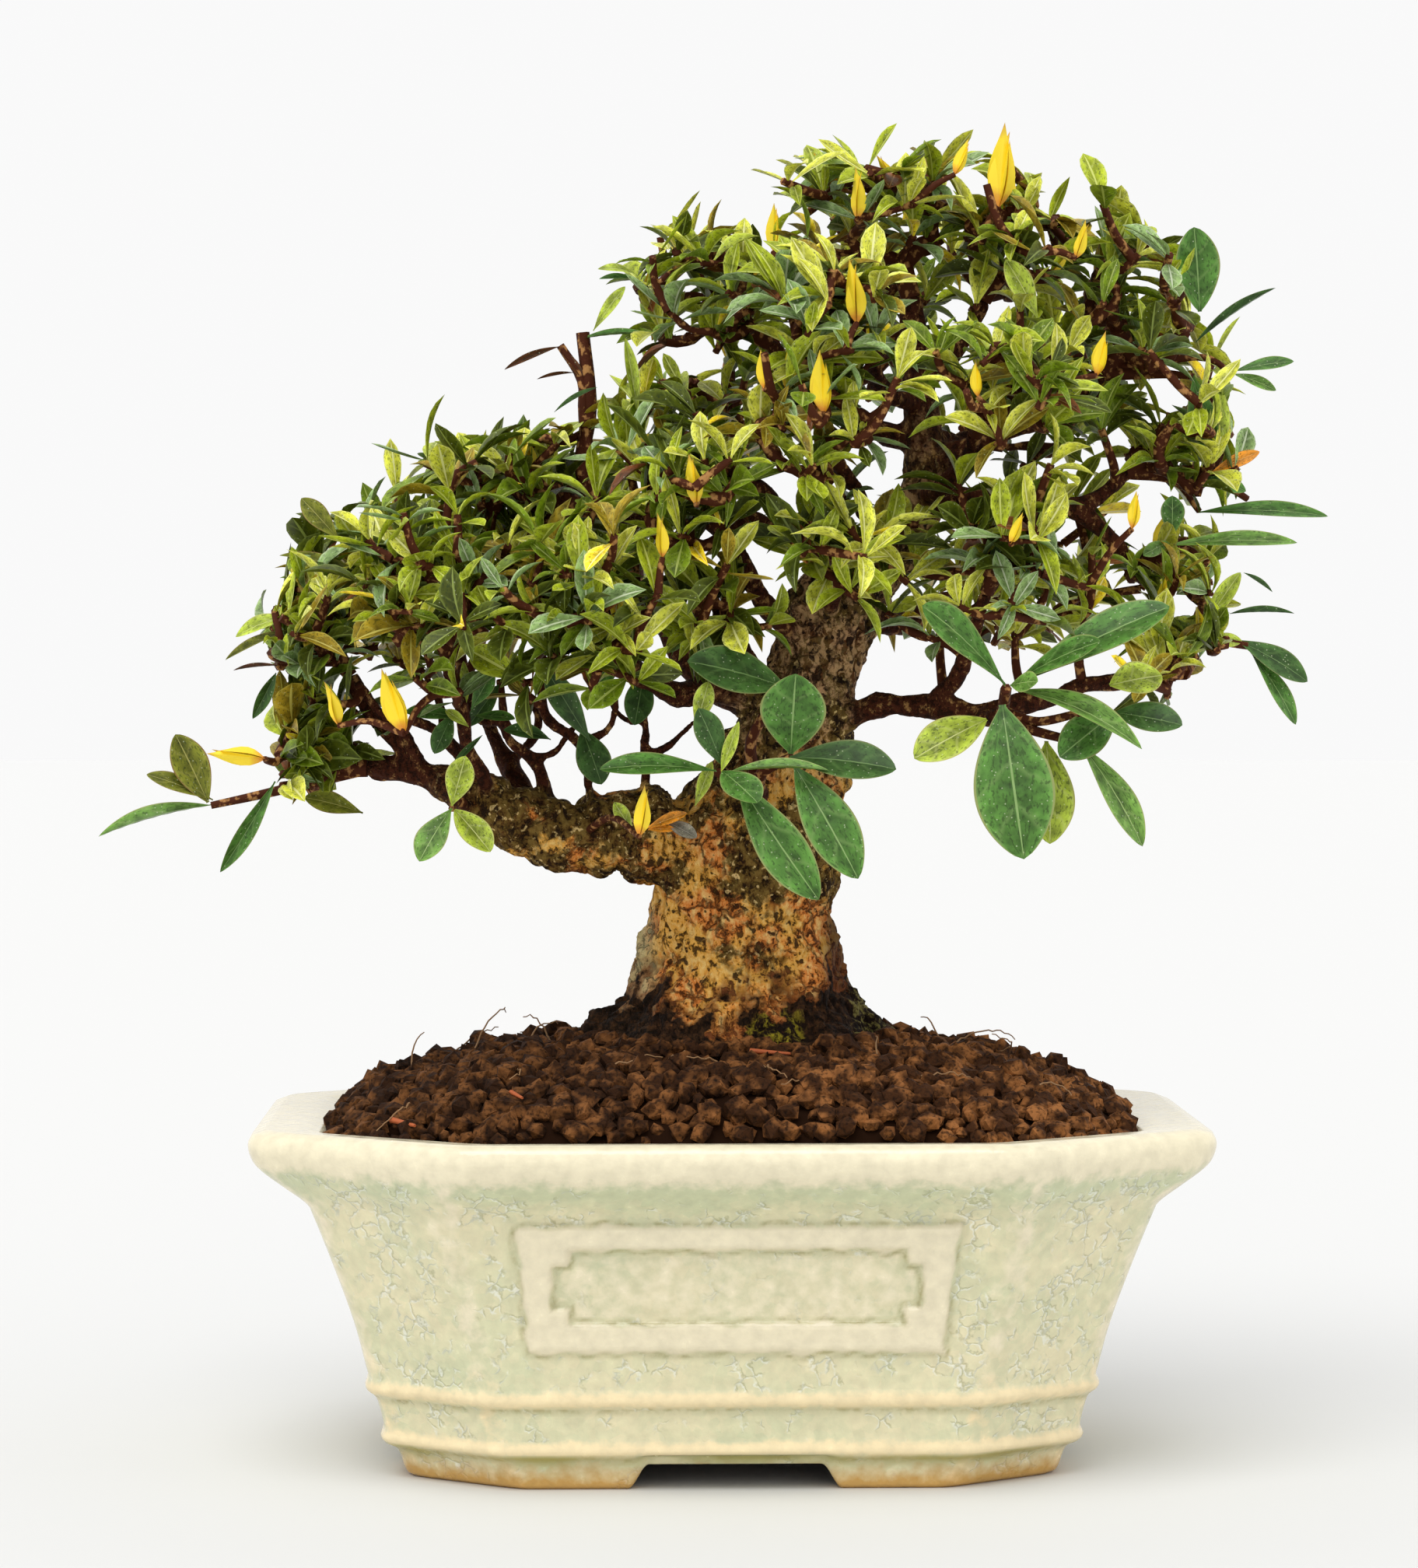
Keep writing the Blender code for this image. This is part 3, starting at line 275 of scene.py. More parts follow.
def pot_rings():
    """Every ring of the pot, from under its floor, out, up and over the rim, and down inside; with where the
    glaze runs thin, above 0, and the lines of painted shadow under the ribs and along the panels' edges."""
    rows = np.vstack([smooth_rows(POT_UNDERSIDE, 1.0), smooth_rows(POT_OUTSIDE, 0.62),
                      smooth_rows(POT_LIP, 0.8), smooth_rows(POT_INSIDE, 9.0)])
    rings = []
    for height, half, flat in rows:
        ring = cut_corner_ring(half, flat, RING_STEPS, CORNER_SOFTENING)
        rings.append(np.column_stack([ring, np.full(len(ring), height)]))
    rings = np.array(rings)
    x, y, z = rings[..., 0], rings[..., 1], rings[..., 2]
    thin, dark = (z - RIM_THIN) / 2.6, np.zeros_like(z)
    for rib in RIB_HEIGHTS:
        thin = np.maximum(thin, 1 - np.abs(z - rib) / RIB_WIDTH)
        # painted shadow: a dark line just under each rib
        dark = np.maximum(dark, np.exp(-((z - rib + RIB_WIDTH + 0.40) / (0.75 if rib < 10 else 0.48)) ** 2))
    steps = np.arange(rings.shape[1])
    corners = np.cumsum((0,) + RING_STEPS * 2)
    to_corner = np.abs(steps[:, None] - corners[None, :]).min(axis=1) * 0.62
    crackled = np.tile(np.exp(-((to_corner - CRACKLE_IN) / 4.5) ** 2), (len(z), 1))
    worn = np.array([noise.noise(Vector(place) / 3.2) for place in rings.reshape(-1, 3)]).reshape(z.shape)
    thin = np.maximum(thin, 0.75 * worn - np.maximum(to_corner[None, :] - 0.8, 0.0) / 3.0)
    outer = slice(len(smooth_rows(POT_UNDERSIDE, 1.0)), -len(smooth_rows(POT_INSIDE, 9.0)))
    for first, way in ((0, -1.0), (sum(RING_STEPS), 1.0)):
        side = (outer, slice(first, first + RING_STEPS[0]))
        frame_edge, field_edge = panel_edges(x[side], z[side])
        ragged = 0.9 * worn[side]
        y[side] += way * (PANEL_PROUD * ramp(frame_edge, PANEL_EDGE)
                          - FIELD_DEPTH * ramp(field_edge, PANEL_EDGE))
        thin[side] = np.maximum(thin[side], np.minimum(frame_edge + ragged, -field_edge + ragged) / 0.7)
        thin[side] = np.maximum(thin[side], np.minimum(field_edge - 1.2, 0.0) - 0.02)
        # painted shadow: dark lines just outside the frame's edge and just inside the field's edge
        lines = np.maximum(np.exp(-((frame_edge + 0.35 + ragged) / 0.42) ** 2),
                           np.exp(-((field_edge - 0.35 - ragged) / 0.42) ** 2))
        dark[side] = np.maximum(dark[side], lines)
        aside = np.exp(-((np.abs(x[side]) - CRACKLE_ASIDE) / 3.0) ** 2)
        off = np.minimum(np.abs(z[side] - CRACKLE_HIGH), np.abs(z[side] - CRACKLE_LOW))
        crackled[side] = np.maximum(aside, 0.7 * np.exp(-(off / 2.0) ** 2))
    arch = ramp(ARCH_HALF_FRONT - np.abs(x), ARCH_SLOPE) + ramp(ARCH_HALF_SIDE - np.abs(y), ARCH_SLOPE)
    low = z < ARCH_FADE
    z[low] += (ARCH_HEIGHT * arch * (1 - z / ARCH_FADE))[low]
    np.maximum(z, 0.0, out=z)
    bare = np.zeros_like(z)
    bare[:outer.start - 4] = 1.0
    return rings, {"thin": thin, "dark": dark, "bare": bare, "crackled": crackled}


def celadon_glaze():
    """Stoneware glaze: glossy, a mottled grey green where thick and cream where it thins, with short
    jagged crackle lines that catch the light on one side."""
    material, node, shader = new_material("celadon_crackle_glaze", GLAZE_BODY, 0.17)
    place = node("TexCoord", {}, "Object")
    height = node("SeparateXYZ", (place,), "Z")
    thin, dark, crackled, bare = (node("Attribute", {}, "Fac", attribute_name=value)
                                  for value in ("thin", "dark", "crackled", "bare"))
    fine = node("TexNoise", {"Vector": place, "Scale": per_mm(2.4), "Detail": 5.0})
    cloud = node("TexNoise", {"Vector": place, "Scale": per_mm(13.0), "Detail": 3.0})
    wander = node("TexNoise", {"Vector": place, "Scale": per_mm(2.2), "Detail": 4.0}, "Color")
    bent = node("VectorMath", (wander, (0.0034,) * 3, place), operation="MULTIPLY_ADD")

    crystal = node("TexVoronoi", {"Vector": place, "Scale": per_mm(1.5)}, "Color")
    under_rim = node("MapRange", (height, 0.0465, 0.0500, -0.15, 0.25))
    green = node("Math", (crystal, 0.30, under_rim), operation="MULTIPLY_ADD")
    green = node("Math", (green, cloud), operation="ADD")
    pooled = node("MapRange", (green, 0.30, 0.90))

    patches = node("TexNoise", {"Vector": place, "Scale": per_mm(3.6), "Detail": 2.0, "W": 3.0},
                   noise_dimensions="4D")
    patches = node("Math", (crackled, 0.16, patches), operation="MULTIPLY_ADD")
    shown = node("MapRange", (patches, 0.57, 0.66))
    covered = node("MapRange", (thin, -0.15, 0.15, 1.0, 0.0))
    shown = node("Math", (shown, covered), operation="MULTIPLY")
    lines = []
    for shift, strength in ((0.0, 0.42), (0.00028, 0.45)):      # a dark line and the light beside it
        moved = node("VectorMath", (bent, (shift, 0.0, shift)), operation="ADD")
        edge = node("TexVoronoi", {"Vector": moved, "Scale": per_mm(2.7)}, feature="DISTANCE_TO_EDGE")
        line = node("MapRange", (edge, 0.01, 0.085, 1.0, 0.0))
        line = node("Math", (line, shown), operation="MULTIPLY")
        lines.append(node("Math", (line, strength), operation="MULTIPLY"))
    crack, glint = lines

    ragged = node("MapRange", (fine, 0.3, 0.7, -0.4, 0.4))
    thinned = node("Math", (thin, ragged), operation="ADD")
    cream = node("MapRange", (thinned, -0.3, 0.4, 0.0, 0.92))
    warm = node("MapRange", (height, 0.022, 0.016))
    pale = coated(node, GLAZE_CREAM, (warm, GLAZE_WARM))
    # painted shadow along the lines under the ribs and at the panels' edges
    shadow_line = node("MapRange", (fine, 0.42, 0.60, 0.16, 0.72))
    shadow_line = node("Math", (shadow_line, dark), operation="MULTIPLY")
    # painted shade: a darker olive band over the feet's tops under the lower rib, broken into patches
    low = node("MapRange", (height, 0.0030, 0.0052))
    over = node("MapRange", (height, 0.0056, 0.0062, 1.0, 0.0))
    shade_patches = node("MapRange", (cloud, 0.40, 0.60, 0.25, 0.95))
    for share in (over, shade_patches):
        low = node("Math", (low, share), operation="MULTIPLY")
    foot = node("MapRange", (fine, 0.3, 0.7, -0.0009, 0.0009))
    foot = node("Math", (foot, height), operation="ADD")
    foot = node("MapRange", (foot, 0.0044, 0.0012, 0.0, 0.9))
    colour = coated(node, GLAZE_BODY, (pooled, GLAZE_POOL), (glint, GLAZE_GLINT), (crack, GLAZE_CRACK),
                    (cream, pale), (shadow_line, GLAZE_SHADOW_LINE), (low, GLAZE_FOOT_SHADE), (foot, GLAZE_BUFF))
    flakes = node("TexVoronoi", {"Vector": bent, "Scale": per_mm(3.4)}, "Color")
    cast = node("MapRange", (fine, 0.3, 0.7, 0.88, 1.04))
    cast = node("Math", (flakes, 0.06, cast), operation="MULTIPLY_ADD")
    colour = node("Mix", {0: 1.0, 6: colour, 7: cast}, 2, data_type="RGBA", blend_type="MULTIPLY")
    # the bare underside, darkened as painted shade in the hollow under the pot
    colour = coated(node, colour, (bare, UNDERSIDE_CLAY_SHADE))

    rough = node("MapRange", (fine, 0.3, 0.7, 0.12, 0.28))
    dip = node("Math", (crack, -0.9, fine), operation="MULTIPLY_ADD")
    bump = node("Bump", {"Strength": 0.4, "Distance": 0.0005, "Height": dip})
    feed(shader, {"Base Color": colour, "Roughness": rough, "Normal": bump})
    return material


rings, glaze_values = pot_rings()
pot = make_object("glazed_pot", skin(rings, glaze_values), celadon_glaze())
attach(pot, "root")
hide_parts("pot")


# Soil: fired clay granules of 3 to 5 mm, heaped from the rim to the trunk's foot over a dark bed of painted
# shade, moist brown, with fine dry rootlets and a few red root ends lying on them.

SOIL_TOP = 70.2
SOIL_TOP_HALF = (31.0, 27.0)
SOIL_HALF, SOIL_FLAT = 67.0, 39.9       # half width and half front flat of the heap at the rim
SOIL_STEPS = (3, 1, 2, 1)
SOIL_HEAP = 2.2                 # how much steeper the heap is at the rim than near the trunk
SOIL_LUMP, SOIL_LUMP_SIZE = 1.5, 14.0
SOIL_BED_DROP = 1.5             # from the heap's level down to the dark bed of painted shade between the granules
BED_SIDES = ((0.98, 46.0), (0.995, 56.3))       # the bed's side: share of its width, height
FOOT_MIDDLE, FOOT_HALF, TRUNK_DEPTH = 2.2, 21.5, 0.9    # the trunk's foot, that the heap rises to
FOOT_ROOTS = (                  # degrees round the foot, swell at the ground, height it fades over
    (8.0, 0.36, 7.5), (62.0, 0.36, 7.5), (128.0, 0.36, 7.5), (186.0, 0.40, 12.0), (238.0, 0.34, 9.0),
    (304.0, 0.36, 7.5))
ROOT_SHARPNESS = 11.0
PUSHED_UP = 96                  # granules against the foot
GRANULE_SPACING = 2.0
GRANULE_SIZES = (1.2, 2.65)     # radius
GRANULE_TRIES, GRANULE_FORMS = 30000, 12
LOOSE_GRANULES = 130            # that lie on top of the others
ROOTLETS = (                    # x, y, heading in degrees, length, how high it arches
    (-54, -2, 80, 5, 5.5), (-44, -4, 20, 9, 5.5), (-35, -5, 15, 7, 3.5), (-30, 6, 150, 6, 4),
    (37, -4, 100, 5, 5), (38, -4, -10, 12, 3.5), (46, -2, -20, 10, 3), (-53, -34, 250, 9, 1.2),
    (-36, -30, 300, 8, 1), (-2, -32, 200, 9, 1.4), (4, -36, 320, 8, 1.2), (24, -27, 70, 6, 2),
    (30, -34, 10, 9, 1.2), (-20, -34, 30, 9, 1.2), (50, -30, 60, 8, 1.6), (-8, -26, 100, 5, 1.5),
    (14, -40, 170, 8, 1), (30, 30, 40, 10, 2), (-28, 32, 120, 9, 2), (5, 36, 10, 8, 1.5),
    (-48, 24, 60, 9, 2),
)
ROOTLET_STEP = 0.7
ROOT_ENDS = (                   # two ends, radius
    ((-56, -38), (-52, -42.5), 0.55), ((3, -25), (9.5, -28), 0.5), ((-36.5, -39.5), (-34.6, -43), 0.45),
    ((26, 28), (31, 33), 0.5))
CLAY, CLAY_PALE, CLAY_DARK, CLAY_BED_SHADE = "#371f0d", "#8a5930", "#0e0603", "#22130a"
ROOT_PALE, ROOT_RED = "#8e6a44", "#b0582a"


def soil_height(x, y):
    """Height of the heap over a place, from the distance to the rim along the line from the middle."""
    angle = math.atan2(y, x)
    far = np.array(SOIL_RIM)
    reach = np.linalg.norm(far, axis=1)
    turns = np.arctan2(far[:, 1], far[:, 0])
    order = np.argsort(turns)
    rim = float(np.interp(angle, turns[order], reach[order], period=2 * math.pi))
    top = 1.0 / math.hypot(math.cos(angle) / SOIL_TOP_HALF[0], math.sin(angle) / SOIL_TOP_HALF[1])
    share = min(1.0, max(0.0, (rim - math.hypot(x, y)) / (rim - top)))
    height = POT_HEIGHT - 0.9 + (SOIL_TOP - POT_HEIGHT) * (1 - (1 - share) ** SOIL_HEAP)
    lump = SOIL_LUMP * noise.noise(Vector((x, y, height)) / SOIL_LUMP_SIZE) if 0 < share < 1 else 0.0
    return height + lump, share, rim


def foot_swell(angle, height=0.0):
    """How much the roots widen the trunk towards an angle, at a height over the ground."""
    return max(share * math.exp(-height / fade - (1 - math.cos(angle - math.radians(root))) * ROOT_SHARPNESS)
               for root, share, fade in FOOT_ROOTS)


def from_foot(x, y):
    """How far a place lies outside the trunk's foot."""
    x, y = x - FOOT_MIDDLE, y / TRUNK_DEPTH
    return math.hypot(x, y) - FOOT_HALF * (1 + foot_swell(math.atan2(y, x)))


def clay_granules():
    """Fired clay: matt and gritty, darker towards the left and lighter towards the right, with each granule a
    little its own brown.
    """
    material, node, shader = new_material("moist_clay_granules", CLAY, 0.9, 0.15)
    place = node("TexCoord", {}, "Object")
    tone = node("TexNoise", {"Vector": place, "Scale": per_mm(3.5), "Detail": 2.0})
    grit = node("TexNoise", {"Vector": place, "Scale": per_mm(0.7), "Detail": 3.0})
    pale = node("MapRange", (tone, 0.45, 0.64, 0.0, 0.9))
    dark = node("MapRange", (grit, 0.52, 0.32, 0.0, 0.8))
    colour = coated(node, CLAY, (pale, CLAY_PALE), (dark, CLAY_DARK))
    # darker towards the left and lighter towards the right
    lighter_to_the_right = node("SeparateXYZ", (place,), "X")
    lighter_to_the_right = node("MapRange", (lighter_to_the_right, -0.040, 0.030, 0.74, 1.28))
    colour = node("Mix", {0: 1.0, 6: colour, 7: lighter_to_the_right}, 2, data_type="RGBA", blend_type="MULTIPLY")
    bump = node("Bump", {"Strength": 0.7, "Distance": 0.0004, "Height": grit})
    feed(shader, {"Base Color": colour, "Normal": bump})
    return material


def read_form(bm):
    """A small shape as arrays: its points, its triangles, each triangle's finish and its values."""
    bmesh.ops.triangulate(bm, faces=bm.faces)
    bm.verts.ensure_lookup_table()
    points = np.array([vert.co for vert in bm.verts])
    triangles = np.array([[vert.index for vert in face.verts] for face in bm.faces])
    finishes = np.array([face.material_index for face in bm.faces])
    values = {name: np.array([vert[layer] for vert in bm.verts])
              for name, layer in bm.verts.layers.float.items()}
    bm.free()
    return points, triangles, finishes, values


def scatter(name, forms, placements, materials):
    """One object of many copies: each placement is a form's number and a 4 x 4 matrix."""
    points, triangles, finishes, start = [], [], [], 0
    for number, matrix in placements:
        form_points, form_triangles, form_finishes = forms[number][:3]
        points.append(form_points @ matrix[:3, :3].T + matrix[:3, 3])
        triangles.append(form_triangles + start)
        finishes.append(form_finishes)
        start += len(form_points)
    mesh = bpy.data.meshes.new(name)
    mesh.from_pydata(np.concatenate(points) * MM, [], np.concatenate(triangles))
    thing = mesh_object(name, mesh, *materials)
    mesh.polygons.foreach_set("material_index", np.concatenate(finishes).astype(np.int32))
    for value in forms[0][3]:
        numbers = np.concatenate([forms[number][3][value] for number, matrix in placements])
        mesh.attributes.new(value, "FLOAT", "POINT").data.foreach_set("value", numbers.astype(np.float32))
    return thing


def anyhow(rng, reach=1.0):
    """A random offset, up to a reach along each axis."""
    return np.array([rng.uniform(-reach, reach) for _ in range(3)])


def any_arrow(rng):
    """A random vector, alike towards every side."""
    return np.array([rng.gauss(0, 1) for _ in range(3)])


def tumbled(rng):
    """A random turn."""
    angle = rng.uniform(0, 6.28)
    return Matrix.Rotation(angle, 4, Vector(anyhow(rng)).normalized())


def granule_form(number):
    """One blocky granule about one unit in radius: a ball cut by a few planes."""
    rng = random.Random("granule %d" % number)
    planes = []
    for _ in range(9):
        planes.append((Vector(any_arrow(rng)).normalized(), rng.uniform(0.66, 0.95)))
    bm = bmesh.new()
    bmesh.ops.create_icosphere(bm, subdivisions=1, radius=1.0)
    for vert in bm.verts:
        arrow = vert.co.normalized()
        reach = min([far / arrow.dot(normal) for normal, far in planes if arrow.dot(normal) > 0.2] + [1.15])
        vert.co = arrow * reach * (1.0 + 0.10 * noise.noise(arrow * 2.1 + Vector((7.3 * number, 0, 0))))
    return read_form(bm)


def tubes(name, lines, sides_step):
    """One mesh of round tubes, each along a line of points with a radius at each point."""
    curve = bpy.data.curves.new(name, "CURVE")
    curve.dimensions = "3D"
    curve.bevel_depth = MM
    curve.bevel_resolution = sides_step
    curve.use_fill_caps = True
    for points, radii in lines:
        spline = curve.splines.new("POLY")
        spline.points.add(len(points) - 1)
        coordinates = np.column_stack([np.array(points) * MM, np.ones(len(points))])
        spline.points.foreach_set("co", coordinates.ravel())
        spline.points.foreach_set("radius", np.array(radii, float))
    thing = bpy.data.objects.new(name, curve)
    bpy.context.scene.collection.objects.link(thing)
    bpy.context.view_layer.update()
    mesh = bpy.data.meshes.new_from_object(thing.evaluated_get(bpy.context.evaluated_depsgraph_get()))
    bpy.data.objects.remove(thing)
    bpy.data.curves.remove(curve)
    mesh.name = name
    return mesh


SOIL_RIM = cut_corner_ring(SOIL_HALF, SOIL_FLAT, SOIL_STEPS, 0)
rim = cut_corner_ring(SOIL_HALF, SOIL_FLAT, (30, 8, 20, 8), 3)
beds = [np.column_stack([rim * share, np.full(len(rim), height)]) for share, height in BED_SIDES]
for share in np.linspace(0.08, 0.97, 12):
    level = rim * (1 - share)
    heights = [soil_height(x, y)[0] - SOIL_BED_DROP for x, y in level]
    beds.append(np.column_stack([level, heights]))
# a dark sheet under the granules: painted shade in the gaps between them
bed = make_object("soil_bed", skin(np.array(beds)), new_material("dark_damp_bed", CLAY_BED_SHADE, 1.0, 0.05)[0])
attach(bed, "root")
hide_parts("soil")

rng = random.Random("granules")
lying = []
for _ in range(GRANULE_TRIES):
    x, y = rng.uniform(-66, 66), rng.uniform(-49, 49)
    height, share, rim_here = soil_height(x, y)
    if math.hypot(x, y) > rim_here - 0.4 or from_foot(x, y) < -3.0:
        continue
    if any(abs(x - a) < GRANULE_SPACING and math.hypot(x - a, y - b) < GRANULE_SPACING for a, b in lying):
        continue
    lying.append((x, y))
forms = [granule_form(number) for number in range(GRANULE_FORMS)]
placements = []
for x, y in lying + rng.sample(lying, LOOSE_GRANULES):
    extra = 1.1 if len(placements) >= len(lying) else 0.0
    height, share, rim_here = soil_height(x, y)
    height += 0.8 * max(0.0, 1.0 - max(0.0, from_foot(x, y)) / 3.0)
    room = min(1.0, max(0.35, (rim_here - math.hypot(x, y)) / 6.0))
    size = rng.uniform(*GRANULE_SIZES) * (0.75 + 0.25 * room)
    place = Vector((x + rng.uniform(-0.8, 0.8), y + rng.uniform(-0.8, 0.8),
                    height + extra * room + rng.uniform(-1.2, -0.5)))
    spin = tumbled(rng)
    squash = Matrix.Diagonal((size * rng.uniform(0.9, 1.25), size, size * rng.uniform(0.75, 1.0), 1.0))
    placements.append((rng.randrange(GRANULE_FORMS), np.array(Matrix.Translation(place) @ spin @ squash)))
for i in range(PUSHED_UP):
    angle = 2 * math.pi * (i + rng.uniform(-0.4, 0.4)) / PUSHED_UP
    out = FOOT_HALF * (1 + foot_swell(angle)) + rng.uniform(-0.6, 1.8)
    size = rng.uniform(1.1, 2.3)
    place = Vector((FOOT_MIDDLE + out * math.cos(angle), TRUNK_DEPTH * out * math.sin(angle),
                    SOIL_TOP + rng.uniform(-0.4, 0.9)))
    spin = tumbled(rng)
    placements.append((rng.randrange(GRANULE_FORMS),
                       np.array(Matrix.Translation(place) @ spin @ Matrix.Scale(size, 4))))
threads = []
for x, y, heading, length, arch in ROOTLETS:
    heading, points = math.radians(heading), []
    for step in range(round(length / ROOTLET_STEP)):
        heading += rng.uniform(-0.55, 0.55)
        x, y = x + ROOTLET_STEP * math.cos(heading), y + ROOTLET_STEP * math.sin(heading)
        lift = arch * math.sin(0.68 * math.pi * min(1.0, step * ROOTLET_STEP / length))
        lift += rng.uniform(-0.3, 0.3)
        points.append((x, y, soil_height(x, y)[0] + 0.7 + lift))
    threads.append((points, np.linspace(0.17, 0.09, len(points))))
ends = []
for (x0, y0), (x1, y1), radius in ROOT_ENDS:
    route = smooth_rows([(x0, y0, soil_height(x0, y0)[0] + 1.0), (x1, y1, soil_height(x1, y1)[0] + 1.3)], 1.0)
    ends.append((route, np.linspace(radius, 0.5 * radius, len(route))))
for name, lines, colour in (("rootlets", threads, ROOT_PALE), ("root_ends", ends, ROOT_RED)):
    roots = mesh_object(name, tubes(name, lines, 1), new_material("dry_" + name, colour, 0.7)[0])
    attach(roots, "root")
granules = scatter("soil_granules", forms, placements, [clay_granules()])
granules.data.shade_flat()
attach(granules, "root")


# Trunk and boughs: azalea wood with thin, pitted bark, thick at the flared foot and leaning right
# to a slim leader above an old cut's knob. One skin runs over all of them, so each fork is a grown
# one, and every bough is as crooked and knotted as slow growth makes it.

GROUND = SOIL_TOP + 0.3
TRUNK_ROUTE = (                 # x, y, z, radius
    (2.2, 0.0, GROUND, 21.5), (2.4, 0.0, 76.0, 18.2), (2.6, 0.0, 83.0, 16.5), (2.6, -0.5, 92.4, 15.2),
    (4.0, -1.0, 101.0, 15.6), (7.0, -1.5, 110.0, 13.4), (10.6, -1.5, 120.0, 10.6), (13.4, -1.0, 130.0, 8.6),
    (16.2, -0.5, 137.5, 8.0), (18.0, -0.4, 143.5, 8.3), (22.0, 0.0, 149.0, 6.9), (27.5, 0.6, 154.0, 5.4),
    (31.8, 1.0, 160.0, 4.5), (33.8, 1.0, 166.0, 3.9), (33.2, 0.5, 176.0, 3.2), (32.0, 0.0, 187.0, 2.5),
    (31.2, 0.0, 197.0, 1.9),
)
BOUGH_SAG, BOUGH_ENTRY = 0.12, 0.72
CROOKED = 1.3                   # how far a bough wanders from its line
KNOTTED = 0.36                  # how much its thickness varies
LOW_BOUGH_TAPER = ((0.0, 0.12, 0.3, 0.5, 0.66, 0.78, 1.0), (10.4, 8.8, 6.8, 5.8, 4.6, 3.2, 1.8))
BARK_VOXEL = 0.54
POINTS_AT_ONCE = 20000          # of the bark, when their distances to the limbs' lines are found

Bough = namedtuple("Bough", "name parent root radius tip_radius centre reach shoots")
BOUGHS = (
    Bough("low_left", "trunk", (-2, -2, 101), 10.4, 1.8, (-80, -3, 118), (24, 15, 14), 13),
    Bough("left_outer", "low_left", (-46, -7, 114), 1.7, 1.3, (-72, -2, 140), (15, 24, 14.5), 16),
    Bough("left_front", "low_left", (-38, -8, 110), 1.7, 1.3, (-50, -26, 146), (17, 22, 15), 18),
    Bough("left_back", "low_left", (-29, -7, 106), 2.0, 1.3, (-54, 24, 150), (18, 22, 16), 18),
    Bough("left_spur", "low_left", (-44, -7, 113), 1.5, 1.0, (-46, -24, 110), (10, 10, 10), 1),
    Bough("left_middle", "trunk", (10, -2, 127), 3.4, 1.5, (-26, -32, 143), (15, 19, 16), 16),
    Bough("middle_low", "trunk", (13, -1, 129), 1.9, 1.1, (-4, -20, 142), (11, 16, 11), 10),
    Bough("middle_front", "trunk", (18, -1, 143), 2.0, 1.1, (17, -27, 154), (15, 17, 11), 11),
    Bough("left_upper", "trunk", (28, 0, 152), 3.0, 1.5, (-37, -4, 162), (17, 22, 15), 18),
    Bough("back_left", "trunk", (12, 0, 124), 3.4, 1.4, (-24, 28, 153), (17, 20, 17), 16),
    Bough("front_left", "trunk", (17, 0, 138), 2.6, 1.3, (-7, -27, 162), (15, 20, 15), 17),
    Bough("back_centre", "trunk", (27, 1, 150), 2.8, 1.3, (-5, 28, 175), (18, 22, 18), 16),
    Bough("front_high", "trunk", (30, 0, 157), 2.4, 1.2, (13, -32, 172), (15, 18, 15), 16),
    Bough("top_left", "trunk", (33.5, 0, 173), 2.3, 1.3, (-4, -5, 196), (18, 26, 16), 20),
    Bough("top_front", "trunk", (33.3, 0, 178), 2.0, 1.2, (16, -30, 190), (16, 19, 16), 17),
    Bough("top_back", "trunk", (32.5, 0, 184), 2.0, 1.2, (24, 33, 198), (19, 20, 18), 17),
    Bough("top_right", "trunk", (33, 0, 181), 2.0, 1.2, (50, -2, 206), (16, 26, 16), 20),
    Bough("right_top", "trunk", (33.7, 0, 168), 2.5, 1.4, (71, 0, 196), (16, 26, 18), 20),
    Bough("right_middle", "trunk", (32, 0, 160), 2.4, 1.3, (79, 2, 147), (18, 22, 15), 14),
    Bough("right_outer", "right_middle", (57, -2, 162), 1.7, 1.2, (79, 4, 172), (16, 26, 15), 17),
    Bough("right_front", "trunk", (33.7, 0, 164), 2.2, 1.2, (45, -31, 178), (16, 19, 15), 16),
    Bough("right_back", "trunk", (33.5, 0, 171), 2.4, 1.3, (57, 32, 183), (19, 21, 19), 17),
    Bough("low_back", "trunk", (21, 0, 141), 2.8, 1.3, (55, 31, 150), (19, 21, 16), 16),
    Bough("low_right", "trunk", (12, -2, 125), 2.6, 1.4, (82, -12, 133), (19, 14, 13), 12),
    Bough("low_front", "low_right", (33, -10, 128), 1.5, 1.1, (46, -27, 154), (14, 18, 13), 13),
    Bough("right_spur", "low_right", (43, -14, 126), 1.6, 1.2, (47, -37, 127), (27, 17, 26), 1),
    Bough("front_spur", "trunk", (4, -2, 111), 1.9, 1.2, (2, -36, 116), (27, 16, 24), 2),
)
APEX = Bough("apex", "trunk", None, None, None, (25, 0, 211), (19, 25, 16), 20)
ROUTES = {
    "low_left": ((-2, -2, 101), (-9, -4, 102.8), (-18, -6, 106), (-28, -8, 105.6), (-37, -8, 109),
                 (-45, -7, 113), (-53, -5, 116.5), (-61, -4, 117)),
    "left_middle": ((10, -2, 127), (2, -4, 130), (-9, -9, 129.5), (-16, -15, 133), (-20, -21, 137)),
    "left_upper": ((26, 0.5, 152.5), (14, -8, 154.7), (3, -11, 158), (-11, -11, 160), (-23, -8, 160.5)),
    "right_top": ((33.7, 0, 168), (40, -1, 171), (47, -1, 173.5), (55, -1, 178), (64, 0, 184)),
    "right_middle": ((31.8, 1, 160), (38, -1, 163), (50, -2, 163), (59, -2, 160.7), (65, -1, 156.5),
                     (69, 0, 150)),
    "low_right": ((12, -2, 125), (21, -6, 126.4), (32, -10, 127.6), (42.5, -14, 126.4), (52, -15, 128.4),
                  (62, -14, 131), (70, -13, 132.5)),
}
